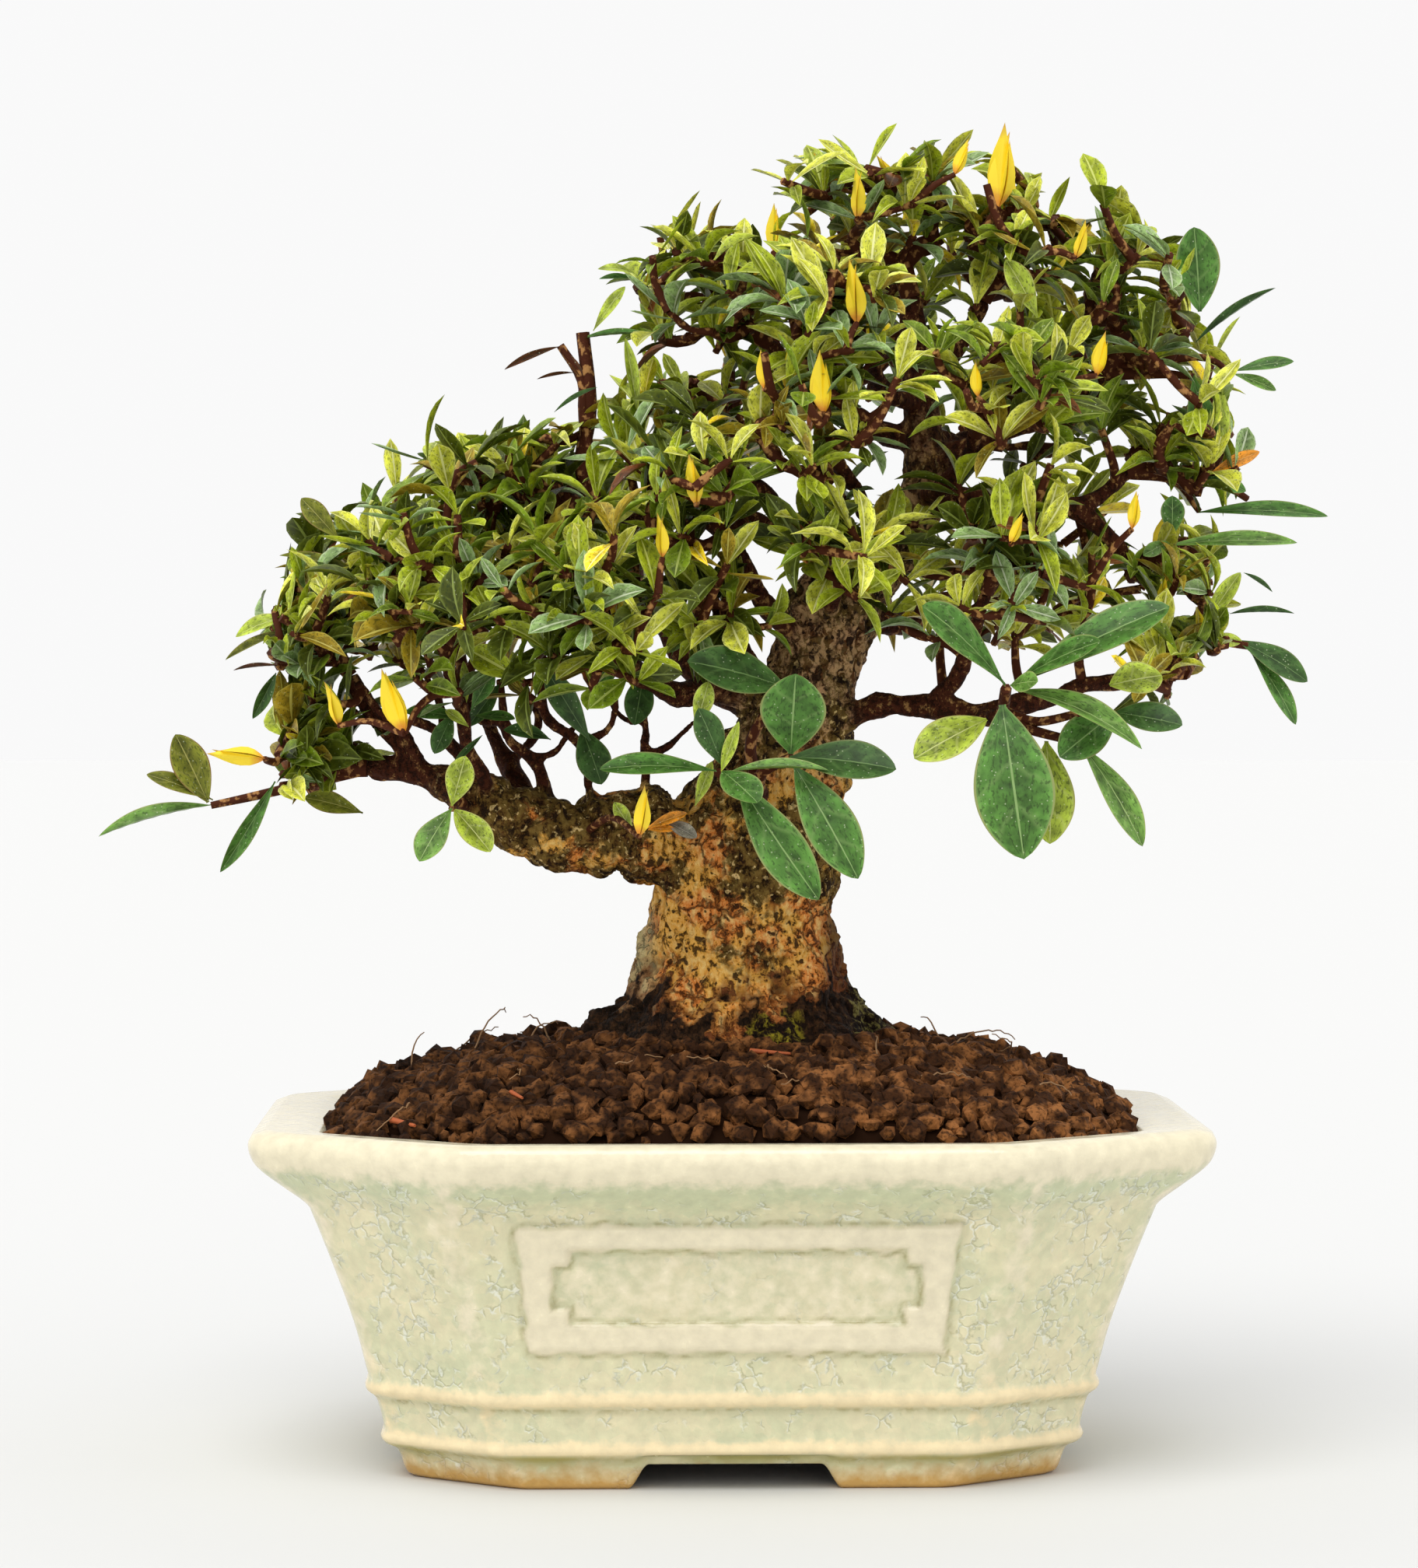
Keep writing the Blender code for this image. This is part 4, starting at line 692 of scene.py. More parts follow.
RISERS = (                      # slim boughs up from the low left one: route, radius at each end
    (((-29, -5, 109), (-33.5, -6, 118.5), (-38, -8, 124.5), (-39, -10, 132)), 1.3, 0.8),
    (((-33.5, -6, 118.5), (-29.5, -7, 120), (-25.5, -8, 124), (-27, -10, 129)), 0.8, 0.6),
    (((-37, -9, 124), (-42, -6, 125), (-46, -2, 130)), 0.8, 0.6),
    (((-23, -6, 108.5), (-24.5, -9, 120), (-30.5, -12, 127), (-32, -14, 136)), 1.2, 0.8),
    (((-25, -9, 121), (-20, -10, 124.5), (-19.5, -12, 133)), 0.8, 0.6),
    (((-15, -4, 106), (-14.5, -6, 120), (-14.5, -9, 129)), 0.9, 0.7),
    (((-14.5, -6, 119.5), (-10, -5, 121), (-4, -6, 127)), 0.7, 0.6),
    (((-14.5, -7, 125), (-19, -8, 125.6), (-22, -9, 130)), 0.6, 0.5),
    (((-41, -7, 113), (-48, -9, 121.5), (-54, -12, 125)), 1.5, 1.0),
    (((-47, -8, 120), (-50, -4, 129), (-54, 0, 136)), 0.9, 0.7),
    (((-52, -7, 118), (-58, -8, 125), (-63, -10, 131)), 1.1, 0.8),
    (((-36, -4, 110), (-37, 3, 117), (-33, 9, 124), (-35, 12, 131)), 1.1, 0.7),
)
BARK_TAN, BARK_RUST, BARK_PALE = "#f0b04c", "#e6883c", "#ffdc8c"
BARK_SCAR = (0.0060, -0.0140, 0.0985)       # the middle of the large crusted patch, metres
BARK_MOSS_PLACE = (0.0080, -0.0200, 0.0735)             # the middle of the moss, metres
BARK_TONGUES = (                # dry wood down into the damp: aside, half width, width with fade, reach
    (0.0045, 0.002, 0.0075, 0.0065), (-0.0045, 0.0045, 0.0080, 0.0030))
BARK_OLD, BARK_STREAK = "#c09c74", "#33251a"            # greyer wood under the crown, with upright streaks
BARK_CRUST, BARK_OLIVE, BARK_FLECK, BARK_PIT = "#2c1b0b", "#745c28", "#f0d08c", "#241208"
BARK_FOOT, BARK_WET, BARK_MOSS = "#170d06", "#4e321c", "#b8aa2c"
BARK_STAIN, BARK_LICHEN = "#8a4c26", "#8a8348"          # the damp's upper edge; a film on the right-hand root
# BARK_LIT_FLANK is painted light on the left flank, BARK_SHADE painted shade on the right
BARK_LIT_FLANK, BARK_SHADE, BARK_YOUNG, BARK_SPECK = "#cfc592", "#45241a", "#4c2413", "#b88a54"


def bough_line(row, parent_line):
    """Centre line of a bough from the middle of its parent into its foliage."""
    if row.name in ROUTES:
        return smooth_rows(ROUTES[row.name], 2.5)
    start = parent_line[np.argmin(np.linalg.norm(parent_line - np.array(row.root), axis=1))]
    centre = np.array(row.centre, float)
    back = start - centre
    end = centre + back * BOUGH_ENTRY / np.linalg.norm(back / np.array(row.reach))
    bend = (start + end) / 2 - np.array([0, 0, BOUGH_SAG * np.linalg.norm(end - start)])
    return smooth_rows([start, bend, end], 2.5)


def as_grown(line, radii, seed):
    """A limb's line and radii, made crooked and knotted."""
    share = np.linspace(0.0, 1.0, len(line))[:, None]
    wander = np.array([[noise.noise(Vector(point) / 7.0 + Vector((17.3 * axis, 5.1 * axis, 3.0 * seed)))
                        for axis in range(3)] for point in line])
    line = line + CROOKED * wander * np.minimum(share * 4, 1.0)
    knots = [noise.noise(Vector(point) / 3.5 + Vector((4.0 * seed, 0, 0))) for point in line]
    return np.hstack([line, radii * (1 + KNOTTED * np.array(knots)[:, None])])


limb_lines = {"trunk": smooth_rows(TRUNK_ROUTE, 3.0)}
for i, row in enumerate(BOUGHS):
    line = bough_line(row, limb_lines[row.parent][:, :3])
    share = np.linspace(0.0, 1.0, len(line))[:, None]
    radii = row.radius + (row.tip_radius - row.radius) * share ** 0.8
    if row.name == "low_left":
        radii = np.interp(share, *LOW_BOUGH_TAPER)
    limb_lines[row.name] = as_grown(line, radii, i)
for i, (route, first, last) in enumerate(RISERS):
    line = smooth_rows(route, 1.6)
    limb_lines["riser_%d" % i] = as_grown(line, np.linspace(first, last, len(line))[:, None], 40 + i)

wood = bmesh.new()
for name, line in limb_lines.items():
    mesh = tubes(name + "_core", [(line[:, :3], line[:, 3])], 10 if name == "trunk" else 4)
    if name == "trunk":
        for vert in mesh.vertices:
            height = vert.co.z / MM
            middle = np.array([np.interp(height, line[:, 2], line[:, axis]) for axis in (0, 1)])
            out = np.array(vert.co[:2]) / MM - middle
            angle = math.atan2(out[1], out[0])
            vert.co.xy = (middle + out * (1 + foot_swell(angle, height - GROUND)) * (1.0, TRUNK_DEPTH)) * MM
    wood.from_mesh(mesh)
    bpy.data.meshes.remove(mesh)
core = bpy.data.meshes.new("limbs")
wood.to_mesh(core)
wood.free()
limbs = mesh_object("limbs", core)
remesh = limbs.modifiers.new("One skin", "REMESH")
remesh.mode = "VOXEL"
remesh.voxel_size = BARK_VOXEL * MM
relax = limbs.modifiers.new("Relaxed forks", "SMOOTH")
relax.factor, relax.iterations = 0.5, 3
bpy.context.view_layer.update()
bark_mesh = bpy.data.meshes.new_from_object(limbs.evaluated_get(bpy.context.evaluated_depsgraph_get()))
limbs.modifiers.clear()
limbs.data = bark_mesh
bpy.data.meshes.remove(core)

places = np.empty(len(bark_mesh.vertices) * 3, np.float32)
bark_mesh.vertices.foreach_get("co", places)
places = places.reshape(-1, 3) / MM
normals = np.empty_like(places).ravel()
bark_mesh.vertex_normals.foreach_get("vector", normals)
normals = normals.reshape(-1, 3)
samples = np.vstack(list(limb_lines.values())).astype(np.float32)
girths = np.empty(len(places), np.float32)
for start in range(0, len(places), POINTS_AT_ONCE):
    some = slice(start, start + POINTS_AT_ONCE)
    gaps = np.linalg.norm(places[some, None] - samples[None, :, :3], axis=2) - samples[None, :, 3]
    weight = np.exp(-(gaps - gaps.min(axis=1, keepdims=True)) / 0.8)
    girths[some] = (weight * samples[None, :, 3]).sum(axis=1) / weight.sum(axis=1)
depths = np.empty(len(places), np.float32)
for i, place in enumerate(places):
    place = Vector(place)
    coarse = noise.noise(place / 9.0) + 0.6 * noise.noise(place / 4.5)
    knob = max(0.0, noise.noise(place / 2.8 + Vector((9, 2, 4))) - 0.05)
    groove = max(0.0, 0.24 - abs(noise.noise(Vector((place.x, place.y, place.z * 0.4)) / 2.6)))
    pit = max(0.0, noise.noise(place / 1.3 + Vector((1, 7, 2))) - 0.22)
    rough = 1.0 + 0.3 * max(0.0, min(1.0, (82.0 - place.z) / 5.0))
    grit = noise.noise(place / 0.7)
    depths[i] = rough * (1.3 * coarse + 1.5 * knob - 2.4 * groove) - 1.9 * pit + 0.20 * grit
places += normals * (depths * np.clip(girths / 10.0, 0.12, 1.0))[:, None]
places[:, 2] = np.maximum(places[:, 2], GROUND)
bark_mesh.vertices.foreach_set("co", (places * MM).ravel())
bark_mesh.attributes.new("girth", "FLOAT", "POINT").data.foreach_set("value", girths)
bark_mesh.attributes.new("relief", "FLOAT", "POINT").data.foreach_set("value", depths)
bark_mesh.update()


def azalea_bark():
    """Thin azalea bark: tan and rust, broken by dark flaking crust with pale flecks and by small pits
    darkened with painted shade; painted light on the left flank and painted shade on the right, dark and wet
    at the foot with a little moss, red-brown on young wood."""
    material, node, shader = new_material("flaking_azalea_bark", BARK_TAN, 0.8, 0.15)
    place = node("TexCoord", {}, "Object")
    x, _, height = node("SeparateXYZ", (place,)).node.outputs
    relief, girth = (node("Attribute", {}, "Fac", attribute_name=value) for value in ("relief", "girth"))
    patch = node("TexNoise", {"Vector": place, "Scale": per_mm(6.0), "Detail": 4.0})
    drawn = node("Mapping", {"Vector": place, "Scale": (1.0, 1.0, 0.7)})
    grain = node("TexNoise", {"Vector": drawn, "Scale": per_mm(1.5), "Detail": 6.0, "Roughness": 0.7})
    fleck = node("TexNoise", {"Vector": place, "Scale": per_mm(1.0), "Detail": 2.0})
    wander = node("TexNoise", {"Vector": place, "Scale": per_mm(1.8), "Detail": 3.0}, "Color")
    bent = node("VectorMath", (wander, (0.0032,) * 3, place), operation="MULTIPLY_ADD")

    rust = node("MapRange", (patch, 0.46, 0.58))
    pale = node("MapRange", (grain, 0.48, 0.66, 0.0, 0.85))
    # the bark's dark pits, cracks and crevices, darkened further as painted shade in the bump's hollows
    cell = node("TexVoronoi", {"Vector": bent, "Scale": per_mm(1.8)})
    pits_and_shade = node("Math", (cell.node.outputs["Color"], 0.55, cell), operation="MULTIPLY_ADD")
    pits_and_shade = node("MapRange", (pits_and_shade, 0.54, 0.42, 0.0, 0.92))
    split = node("TexVoronoi", {"Vector": bent, "Scale": per_mm(5.0)}, feature="DISTANCE_TO_EDGE")
    split = node("MapRange", (split, 0.0, 0.07, 0.8, 0.0))
    split = node("Math", (split, rust), operation="MULTIPLY")
    crevice = node("MapRange", (grain, 0.45, 0.38, 0.0, 0.88))
    # painted shade where the displaced relief sinks
    sunk_shade = node("MapRange", (relief, -0.6, -1.5, 0.0, 0.8))
    for deep in (split, crevice, sunk_shade):
        pits_and_shade = node("Math", (pits_and_shade, deep), operation="MAXIMUM")

    upright = node("Mapping", {"Vector": bent, "Scale": (1.0, 1.0, 0.38)})
    streak = node("TexNoise", {"Vector": upright, "Scale": per_mm(1.0), "Detail": 4.0})
    streak = node("MapRange", (streak, 0.44, 0.54))
    grey = coated(node, BARK_STREAK, (streak, BARK_OLD))
    old = node("MapRange", (height, 0.112, 0.124, 0.0, 0.85))
    # painted light on the left flank and painted shade on the right flank, below the crown
    left = node("MapRange", (x, -0.0115, -0.0145, 0.0, 0.8))
    right = node("MapRange", (x, 0.0145, 0.0175, 0.0, 0.85))
    below = node("MapRange", (height, 0.095, 0.090))
    left, right = (node("Math", (flank, below), operation="MULTIPLY") for flank in (left, right))

    crusty = node("TexNoise", {"Vector": place, "Scale": per_mm(10.0), "Detail": 7.0, "Roughness": 0.60,
                               "W": 2.0}, noise_dimensions="4D")
    higher = node("MapRange", (height, 0.088, 0.102, -0.06, 0.07))
    bough = node("MapRange", (x, -0.008, -0.016, 0.0, 0.07))
    bough = node("Math", (bough, higher), operation="MULTIPLY")
    upper = node("MapRange", (height, 0.112, 0.124, 0.0, -0.04))
    scar = node("VectorMath", (place, BARK_SCAR), "Value", operation="DISTANCE")
    scar = node("MapRange", (scar, 0.004, 0.013, 0.085, 0.0))
    crusty = node("Math", (crusty, higher), operation="ADD")
    crusty = node("Math", (bough, 12.0, crusty), operation="MULTIPLY_ADD")
    for more in (upper, scar):
        crusty = node("Math", (crusty, more), operation="ADD")
    crust = node("MapRange", (crusty, 0.53, 0.57, 0.0, 0.93))
    olive = node("MapRange", (grain, 0.44, 0.58))
    flake = node("MapRange", (fleck, 0.60, 0.66, 0.0, 0.9))
    scab = coated(node, BARK_CRUST, (olive, BARK_OLIVE), (flake, BARK_FLECK))

    young = node("MapRange", (girth, 4.2, 2.4))
    speck = node("MapRange", (grain, 0.55, 0.64))
    ring = node("MapRange", (grain, 0.44, 0.34, 0.0, 0.85))
    twig = coated(node, BARK_YOUNG, (speck, BARK_SPECK), (ring, BARK_PIT))

    edge = node("MapRange", (patch, 0.3, 0.7, -0.006, 0.006))
    level = node("Math", (height, edge), operation="ADD")
    for tongue in BARK_TONGUES:
        aside = node("Math", (x, tongue[0]), operation="ADD")
        aside = node("Math", (aside,), operation="ABSOLUTE")
        dry = node("MapRange", (aside, *tongue[1:], 0.0))
        level = node("Math", (level, dry), operation="ADD")
    stained = node("MapRange", (level, 0.0836, 0.0810, 0.0, 0.75))
    damp = node("MapRange", (level, 0.0808, 0.0795, 0.0, 0.97))
    wet = node("MapRange", (grain, 0.48, 0.62, 0.0, 0.9))
    mossy = node("VectorMath", (place, BARK_MOSS_PLACE), "Value", operation="DISTANCE")
    mossy = node("MapRange", (mossy, 0.002, 0.010, 0.24, -0.2))
    mossy = node("Math", (mossy, patch), operation="ADD")
    mossy = node("MapRange", (mossy, 0.52, 0.66, 0.0, 0.9))
    mossy = node("Math", (mossy, wet), operation="MULTIPLY")
    film = node("MapRange", (x, 0.0175, 0.0215, -0.3, 0.0))
    film = node("Math", (film, grain), operation="ADD")
    film = node("MapRange", (film, 0.48, 0.58, 0.0, 0.85))
    foot = coated(node, BARK_FOOT, (wet, BARK_WET), (mossy, BARK_MOSS), (film, BARK_LICHEN))

    colour = coated(node, BARK_TAN, (rust, BARK_RUST), (pale, BARK_PALE), (old, grey), (pits_and_shade, BARK_PIT),
                    (left, BARK_LIT_FLANK), (right, BARK_SHADE), (crust, scab), (young, twig),
                    (stained, BARK_STAIN), (damp, foot))
    deep = node("Math", (pits_and_shade, -0.9, grain), operation="MULTIPLY_ADD")
    deep = node("Math", (crust, 0.5, deep), operation="MULTIPLY_ADD")
    bump = node("Bump", {"Strength": 1.0, "Distance": 0.0009, "Height": deep})
    feed(shader, {"Base Color": colour, "Normal": bump})
    return material


bark_mesh.materials.clear()
bark_mesh.materials.append(azalea_bark())
bark_mesh.shade_smooth()
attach(limbs, "root")
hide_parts("trunk", *("bough_" + row.name for row in BOUGHS))


# Twigs: red-brown shoots that fork out of each bough, by the rule of the solids carried to finer
# wood, every shoot joined to the nearest twig or bough that it can reach clear of the limbs.

LEAF = 11.4                     # length of an ordinary leaf
LEAF_INSET = 0.55               # of a leaf's length, from a shoot's tip to the mass's outline
FINER = 1.35                    # shoots here for each one in the solids
LEFT_FULLER, LEFT_OF = 1.65, -15.0      # the pads on the left are fuller by this much
SHOOT_TRIES = 50
TWIG_SAG = 0.05
TWIG_RADIUS, TWIG_GAIN = 0.66, 0.27
TWIG_BROWN, TWIG_PALE = "#4a2210", "#b88650"
SEED = 5
CROWN_OUTLINE = (               # seen from the front, at the trunk's depth
    (-78, 136), (-80, 142), (-74, 147), (-76, 154), (-73, 163), (-65, 162), (-60, 167), (-54, 173),
    (-49, 175), (-38, 176), (-30, 178), (-26, 182), (-26, 188), (-20, 193), (-18, 197), (-21, 202),
    (-15, 210), (-7, 217), (2, 219), (5, 224), (17, 224), (24, 226), (32, 226), (43, 225), (50, 225),
    (56, 217), (68, 217), (75, 212), (80, 207), (82, 199), (90, 194), (91, 189), (94, 185), (87, 180),
    (86, 171), (90, 165), (87, 160), (88, 156), (82, 153), (84, 147), (86, 141), (85, 137), (80, 135),
    (77, 134), (75, 124), (66, 119), (50, 118), (40, 122), (30, 124), (16, 126), (8, 124), (0, 125),
    (-8, 121), (-16, 121), (-24, 125), (-34, 124), (-44, 121), (-52, 120), (-60, 115), (-70, 111),
    (-77, 113), (-78, 118), (-75, 124), (-76, 130),
)
SKY = (                         # left, right, low, high of the gaps that show white, seen from the front
    (-9, -3.5, 184.5, 193), (-3.5, 0, 181.5, 187), (53.5, 63.5, 210.5, 216), (86.5, 94.5, 172, 181),
    (21, 30, 219.5, 225), (84, 92.5, 147.5, 153), (-47, -41, 121.5, 127.5), (-13.5, -8, 121.5, 127),
    (42.5, 46, 190.5, 197.5), (-11.5, -5.5, 212, 216), (56, 62, 155.5, 160), (48.5, 53.5, 219.5, 224),
    (48.5, 53, 170.5, 175.5), (85, 91.5, 140, 143.5), (-6, -1, 141.5, 146), (-18.5, -12.5, 204, 208),
    (73, 77.5, 206.5, 211), (75, 80, 142, 147), (-31, -26.5, 177, 181), (-59, -54.5, 167.5, 171.5),
    (81, 85, 194, 198.5), (82, 86, 189, 194), (6, 10, 209.5, 213.5), (37, 41.5, 160, 164),
    (68.5, 72, 211.5, 215.5), (73.5, 78, 177, 180), (16.5, 20, 202.5, 206), (69, 72, 198.5, 202),
    (64.5, 67.5, 147.5, 151), (-22, -18.5, 184.5, 187), (35.5, 39.5, 222, 225), (22.5, 27, 183, 185),
    (71.3, 74, 156.5, 161), (52, 54.5, 188, 192), (22.6, 25, 174.5, 178.5), (75, 77.4, 182, 184.8),
    (16, 19, 207, 209.5), (37.8, 39.9, 186, 189.8), (58.3, 60.9, 151.5, 155), (-7.7, -5.3, 147.5, 150.7),
    (9.3, 11.4, 165.1, 168.5), (32.2, 33.8, 176, 181), (8.8, 11.7, 190.6, 193.3),
    (53.8, 56.1, 143.2, 145.9), (70.8, 72.1, 152.3, 156.6), (40.4, 43.1, 217.8, 219.9),
    (20, 22.4, 159, 161.5), (39.9, 42, 197, 200), (39.4, 40.7, 173, 177.3), (56.1, 58, 174, 178),
    (66.5, 68.4, 171.5, 174.1), (73.4, 75, 164.8, 167.5), (-18.5, -16.5, 124.5, 128.5),
    (52.5, 55.5, 206, 209), (4.5, 7, 143.5, 146.5), (24.6, 28, 129.3, 136.5), (30, 32.9, 129.3, 136.5),
    (-32, -26, 123, 127.5), (-23, -13, 113, 121), (-30, -25, 113.5, 118),
)


def in_view(point):
    """Where the camera sees a place, carried along its ray to the trunk's depth."""
    share = CAMERA_PLACE[1] / (CAMERA_PLACE[1] - point[1])
    return point[0] * share, CAMERA_PLACE[2] + (point[2] - CAMERA_PLACE[2]) * share


def inside_outline(point):
    """Whether a place lies inside the crown's outline in the camera's view."""
    x, z = in_view(point)
    inside = False
    for (x0, z0), (x1, z1) in zip(CROWN_OUTLINE, CROWN_OUTLINE[1:] + CROWN_OUTLINE[:1]):
        if (z0 > z) != (z1 > z) and x < (x1 - x0) * (z - z0) / (z1 - z0) + x0:
            inside = not inside
    return inside


def against_sky(point):
    """Whether a place lies where the photograph shows sky through the crown."""
    x, z = in_view(point)
    return any(left < x < right and low < z < high for left, right, low, high in SKY)


class Space:
    """The room that one mass may fill: its own side of a wall to each other mass, clear of limbs."""

    def __init__(self, row, rows):
        self.centre = np.array(row.centre, float)
        self.reach = np.array(row.reach, float)
        normals, offsets = [], []
        for other in rows:
            if other is not row:
                away = np.array(other.centre, float) - self.centre
                length = np.linalg.norm(away)
                away /= length
                mine = 1.0 / np.linalg.norm(away / self.reach)
                theirs = 1.0 / np.linalg.norm(away / np.array(other.reach, float))
                normals.append(away)
                offsets.append(away @ self.centre + length * mine / (mine + theirs))
        self.normals, self.offsets = np.array(normals), np.array(offsets)
        self.starts = np.vstack([line[:-1, :3] for line in limb_lines.values()])
        self.runs = np.vstack([line[1:, :3] - line[:-1, :3] for line in limb_lines.values()])
        self.sizes = np.hstack([line[:-1, 3] for line in limb_lines.values()])

    def inside_cell(self, points, margin):
        """Whether all points keep to this mass's side of every wall."""
        return bool(np.all(points @ self.normals.T < self.offsets - margin))

    def clear_of_limbs(self, points, margin):
        """Whether all points keep a distance from every limb."""
        points = np.atleast_2d(points)
        away = points[:, None, :] - self.starts[None, :, :]
        share = np.einsum("nmk,mk->nm", away, self.runs) / np.einsum("mk,mk->m", self.runs, self.runs)
        away = away - np.clip(share, 0.0, 1.0)[:, :, None] * self.runs[None, :, :]
        return bool(np.all(np.linalg.norm(away, axis=2) > self.sizes + margin))


def spread_shoots(row, space, rng):
    """Shoot tips spread evenly through the mass, most of them high and near its outside."""
    tips = []
    inner = 1.0 - LEAF_INSET * LEAF / space.reach
    for _ in range(round(row.shoots * FINER * (LEFT_FULLER if row.centre[0] < LEFT_OF else 1.0))):
        best, best_score = None, -1e9
        for _ in range(SHOOT_TRIES):
            arrow = unit(any_arrow(rng))
            place = space.centre + arrow * space.reach * inner * rng.uniform(0.15, 1.0) ** (1 / 3)
            near = min([np.linalg.norm(place - tip) for tip in tips], default=12.0)
            score = near + 0.10 * (place[2] - space.centre[2])
            if score <= best_score or not space.inside_cell(place[None], 0.5):
                continue
            if inside_outline(place) and not against_sky(place) and space.clear_of_limbs(place, 1.5):
                best, best_score = place, score
        if best is not None:
            tips.append(best)
    return tips


def unit(arrow):
    """An arrow's direction, one unit long."""
    return arrow / np.linalg.norm(arrow)


def between(start, end, count):
    """Evenly spaced points from one place to another."""
    return start + (end - start) * np.linspace(0.0, 1.0, count)[:, None]


def grow_twigs(stems, space, tips):
    """Twigs from one mass's stems: each shoot joins the nearest twig. Returns points, parents, loads
    and the shoots' numbers."""
    line = stems[0]
    start = line[-1, :3]
    reach = float(np.linalg.norm(space.centre - start))
    lean = unit(line[-1, :3] - line[-2, :3]) * 0.45 + (space.centre - start) / max(reach, 1e-6) * 0.55
    joint = start + lean * min(6.0, 0.6 * reach + 1)
    points, parents, shoots = [start, joint], [None, 0], []
    for stem in stems:
        for place in stem[len(stem) // 3::2, :3]:
            points.append(place)
            parents.append(None)
    for tip in sorted(tips, key=lambda tip: float(np.linalg.norm(tip - joint))):
        gaps = np.linalg.norm(np.array(points) - tip, axis=1)
        for i in np.argsort(gaps)[:6]:
            if i == 0:
                continue
            run = tip - points[i]
            middle = points[i] + run * 0.5 - np.array([0.0, 0.0, TWIG_SAG * np.linalg.norm(run)])
            if space.clear_of_limbs(between(middle, tip, 6), 0.5):
                points += [middle, tip]
                parents += [int(i), len(points) - 2]
                shoots.append(len(points) - 1)
                break
    loads = [0] * len(points)
    for shoot in shoots:
        i = shoot
        while i is not None:
            loads[i] += 1
            i = parents[i]
    return points, parents, loads, shoots


def twig_bark():
    """Young bark: smooth, red-brown and dull, with pale flecks."""
    material, node, shader = new_material("young_twig_bark", TWIG_BROWN, 0.75, 0.15)
    place = node("TexCoord", {}, "Object")
    grain = node("TexNoise", {"Vector": place, "Scale": per_mm(1.3), "Detail": 3.0})
    fleck = node("MapRange", (grain, 0.54, 0.64, 0.0, 0.9))
    colour = coated(node, TWIG_BROWN, (fleck, TWIG_PALE))
    bump = node("Bump", {"Strength": 0.6, "Distance": 0.0003, "Height": grain})
    feed(shader, {"Base Color": colour, "Normal": bump})
    return material


def thickness(load):
    """A twig's radius from the number of shoots that it carries."""
    return TWIG_RADIUS + TWIG_GAIN * math.sqrt(max(load - 1, 0))


Shoot = namedtuple("Shoot", "place arrow")


def shoot_end(route):
    """The shoot at a twig's end: where it is and the way that it points."""
    return Shoot(route[-1], unit(route[-1] - route[-3]))


def grown_wood():
    """Every point of the limbs' and the twigs' lines so far."""
    return np.vstack([points for points, radii in twig_lines] + [line[:, :3] for line in limb_lines.values()])


ROWS = BOUGHS + (APEX,)
shoots_grown, twig_lines = [], []
for row in ROWS:
    if row.name.endswith("_spur"):
        continue
    stems = [limb_lines["trunk" if row is APEX else row.name]]
    if row.parent != "trunk":
        stems.append(limb_lines[row.parent])
    rng = random.Random("%s %d" % (row.name, SEED))
    space = Space(row, ROWS)
    points, parents, loads, shoots = grow_twigs(stems, space, spread_shoots(row, space, rng))
    stem, neck = stems[0][-1, 3], thickness(loads[1])
    twig_lines.append((between(points[0], points[1], 3), [stem, (stem + neck) / 2, neck]))
    for shoot in shoots:
        middle = parents[shoot]
        route = smooth_rows([points[parents[middle]], points[middle] + anyhow(rng, 1.3), points[shoot]], 1.5)
        radii = np.linspace(thickness(loads[middle]), thickness(loads[shoot]), len(route))
        knobs = 1.0 + 0.26 * np.array([rng.uniform(-1, 1) for _ in route])
        twig_lines.append((route, radii * knobs))
        shoots_grown.append(shoot_end(route))


GAP_SHOOTS, GAP_TRIES, GAP_ROOM = 205, 9000, 7.0        # more shoots, each with this much room
GAP_NEAR, GAP_FAR = 4.5, 17.0                           # how near and how far wood may be to carry one
LOW_FILL = (                    # the places tried first, low in the crown
    (32, -8, 158), (38, -14, 150), (36, -4, 143), (43, -10, 145), (48, -12, 139), (31, -12, 150),
    (54, -10, 147), (60, -14, 143), (27, -10, 160), (41, 0, 156), (35, 8, 147), (50, -4, 156),
    (33, -16, 139), (37, -4, 137), (22.5, -15, 149), (41, -16, 138.5), (29.5, -12, 150), (47, -2, 146),
    (30.5, -8, 144.5), (24, 10, 146), (46, 6, 138), (26.5, -12, 143), (31, -13, 141.5), (36, -14, 134.5),
    (27, -14, 147.5), (-35, -14, 130), (-44, -12, 127.5), (-52, -10, 123),
)
rng = random.Random("gaps %d" % SEED)
wood_points = grown_wood()
tips = np.array([shoot.place for shoot in shoots_grown])
leafy = [row for row in ROWS if not row.name.endswith("_spur")]
grown = 0
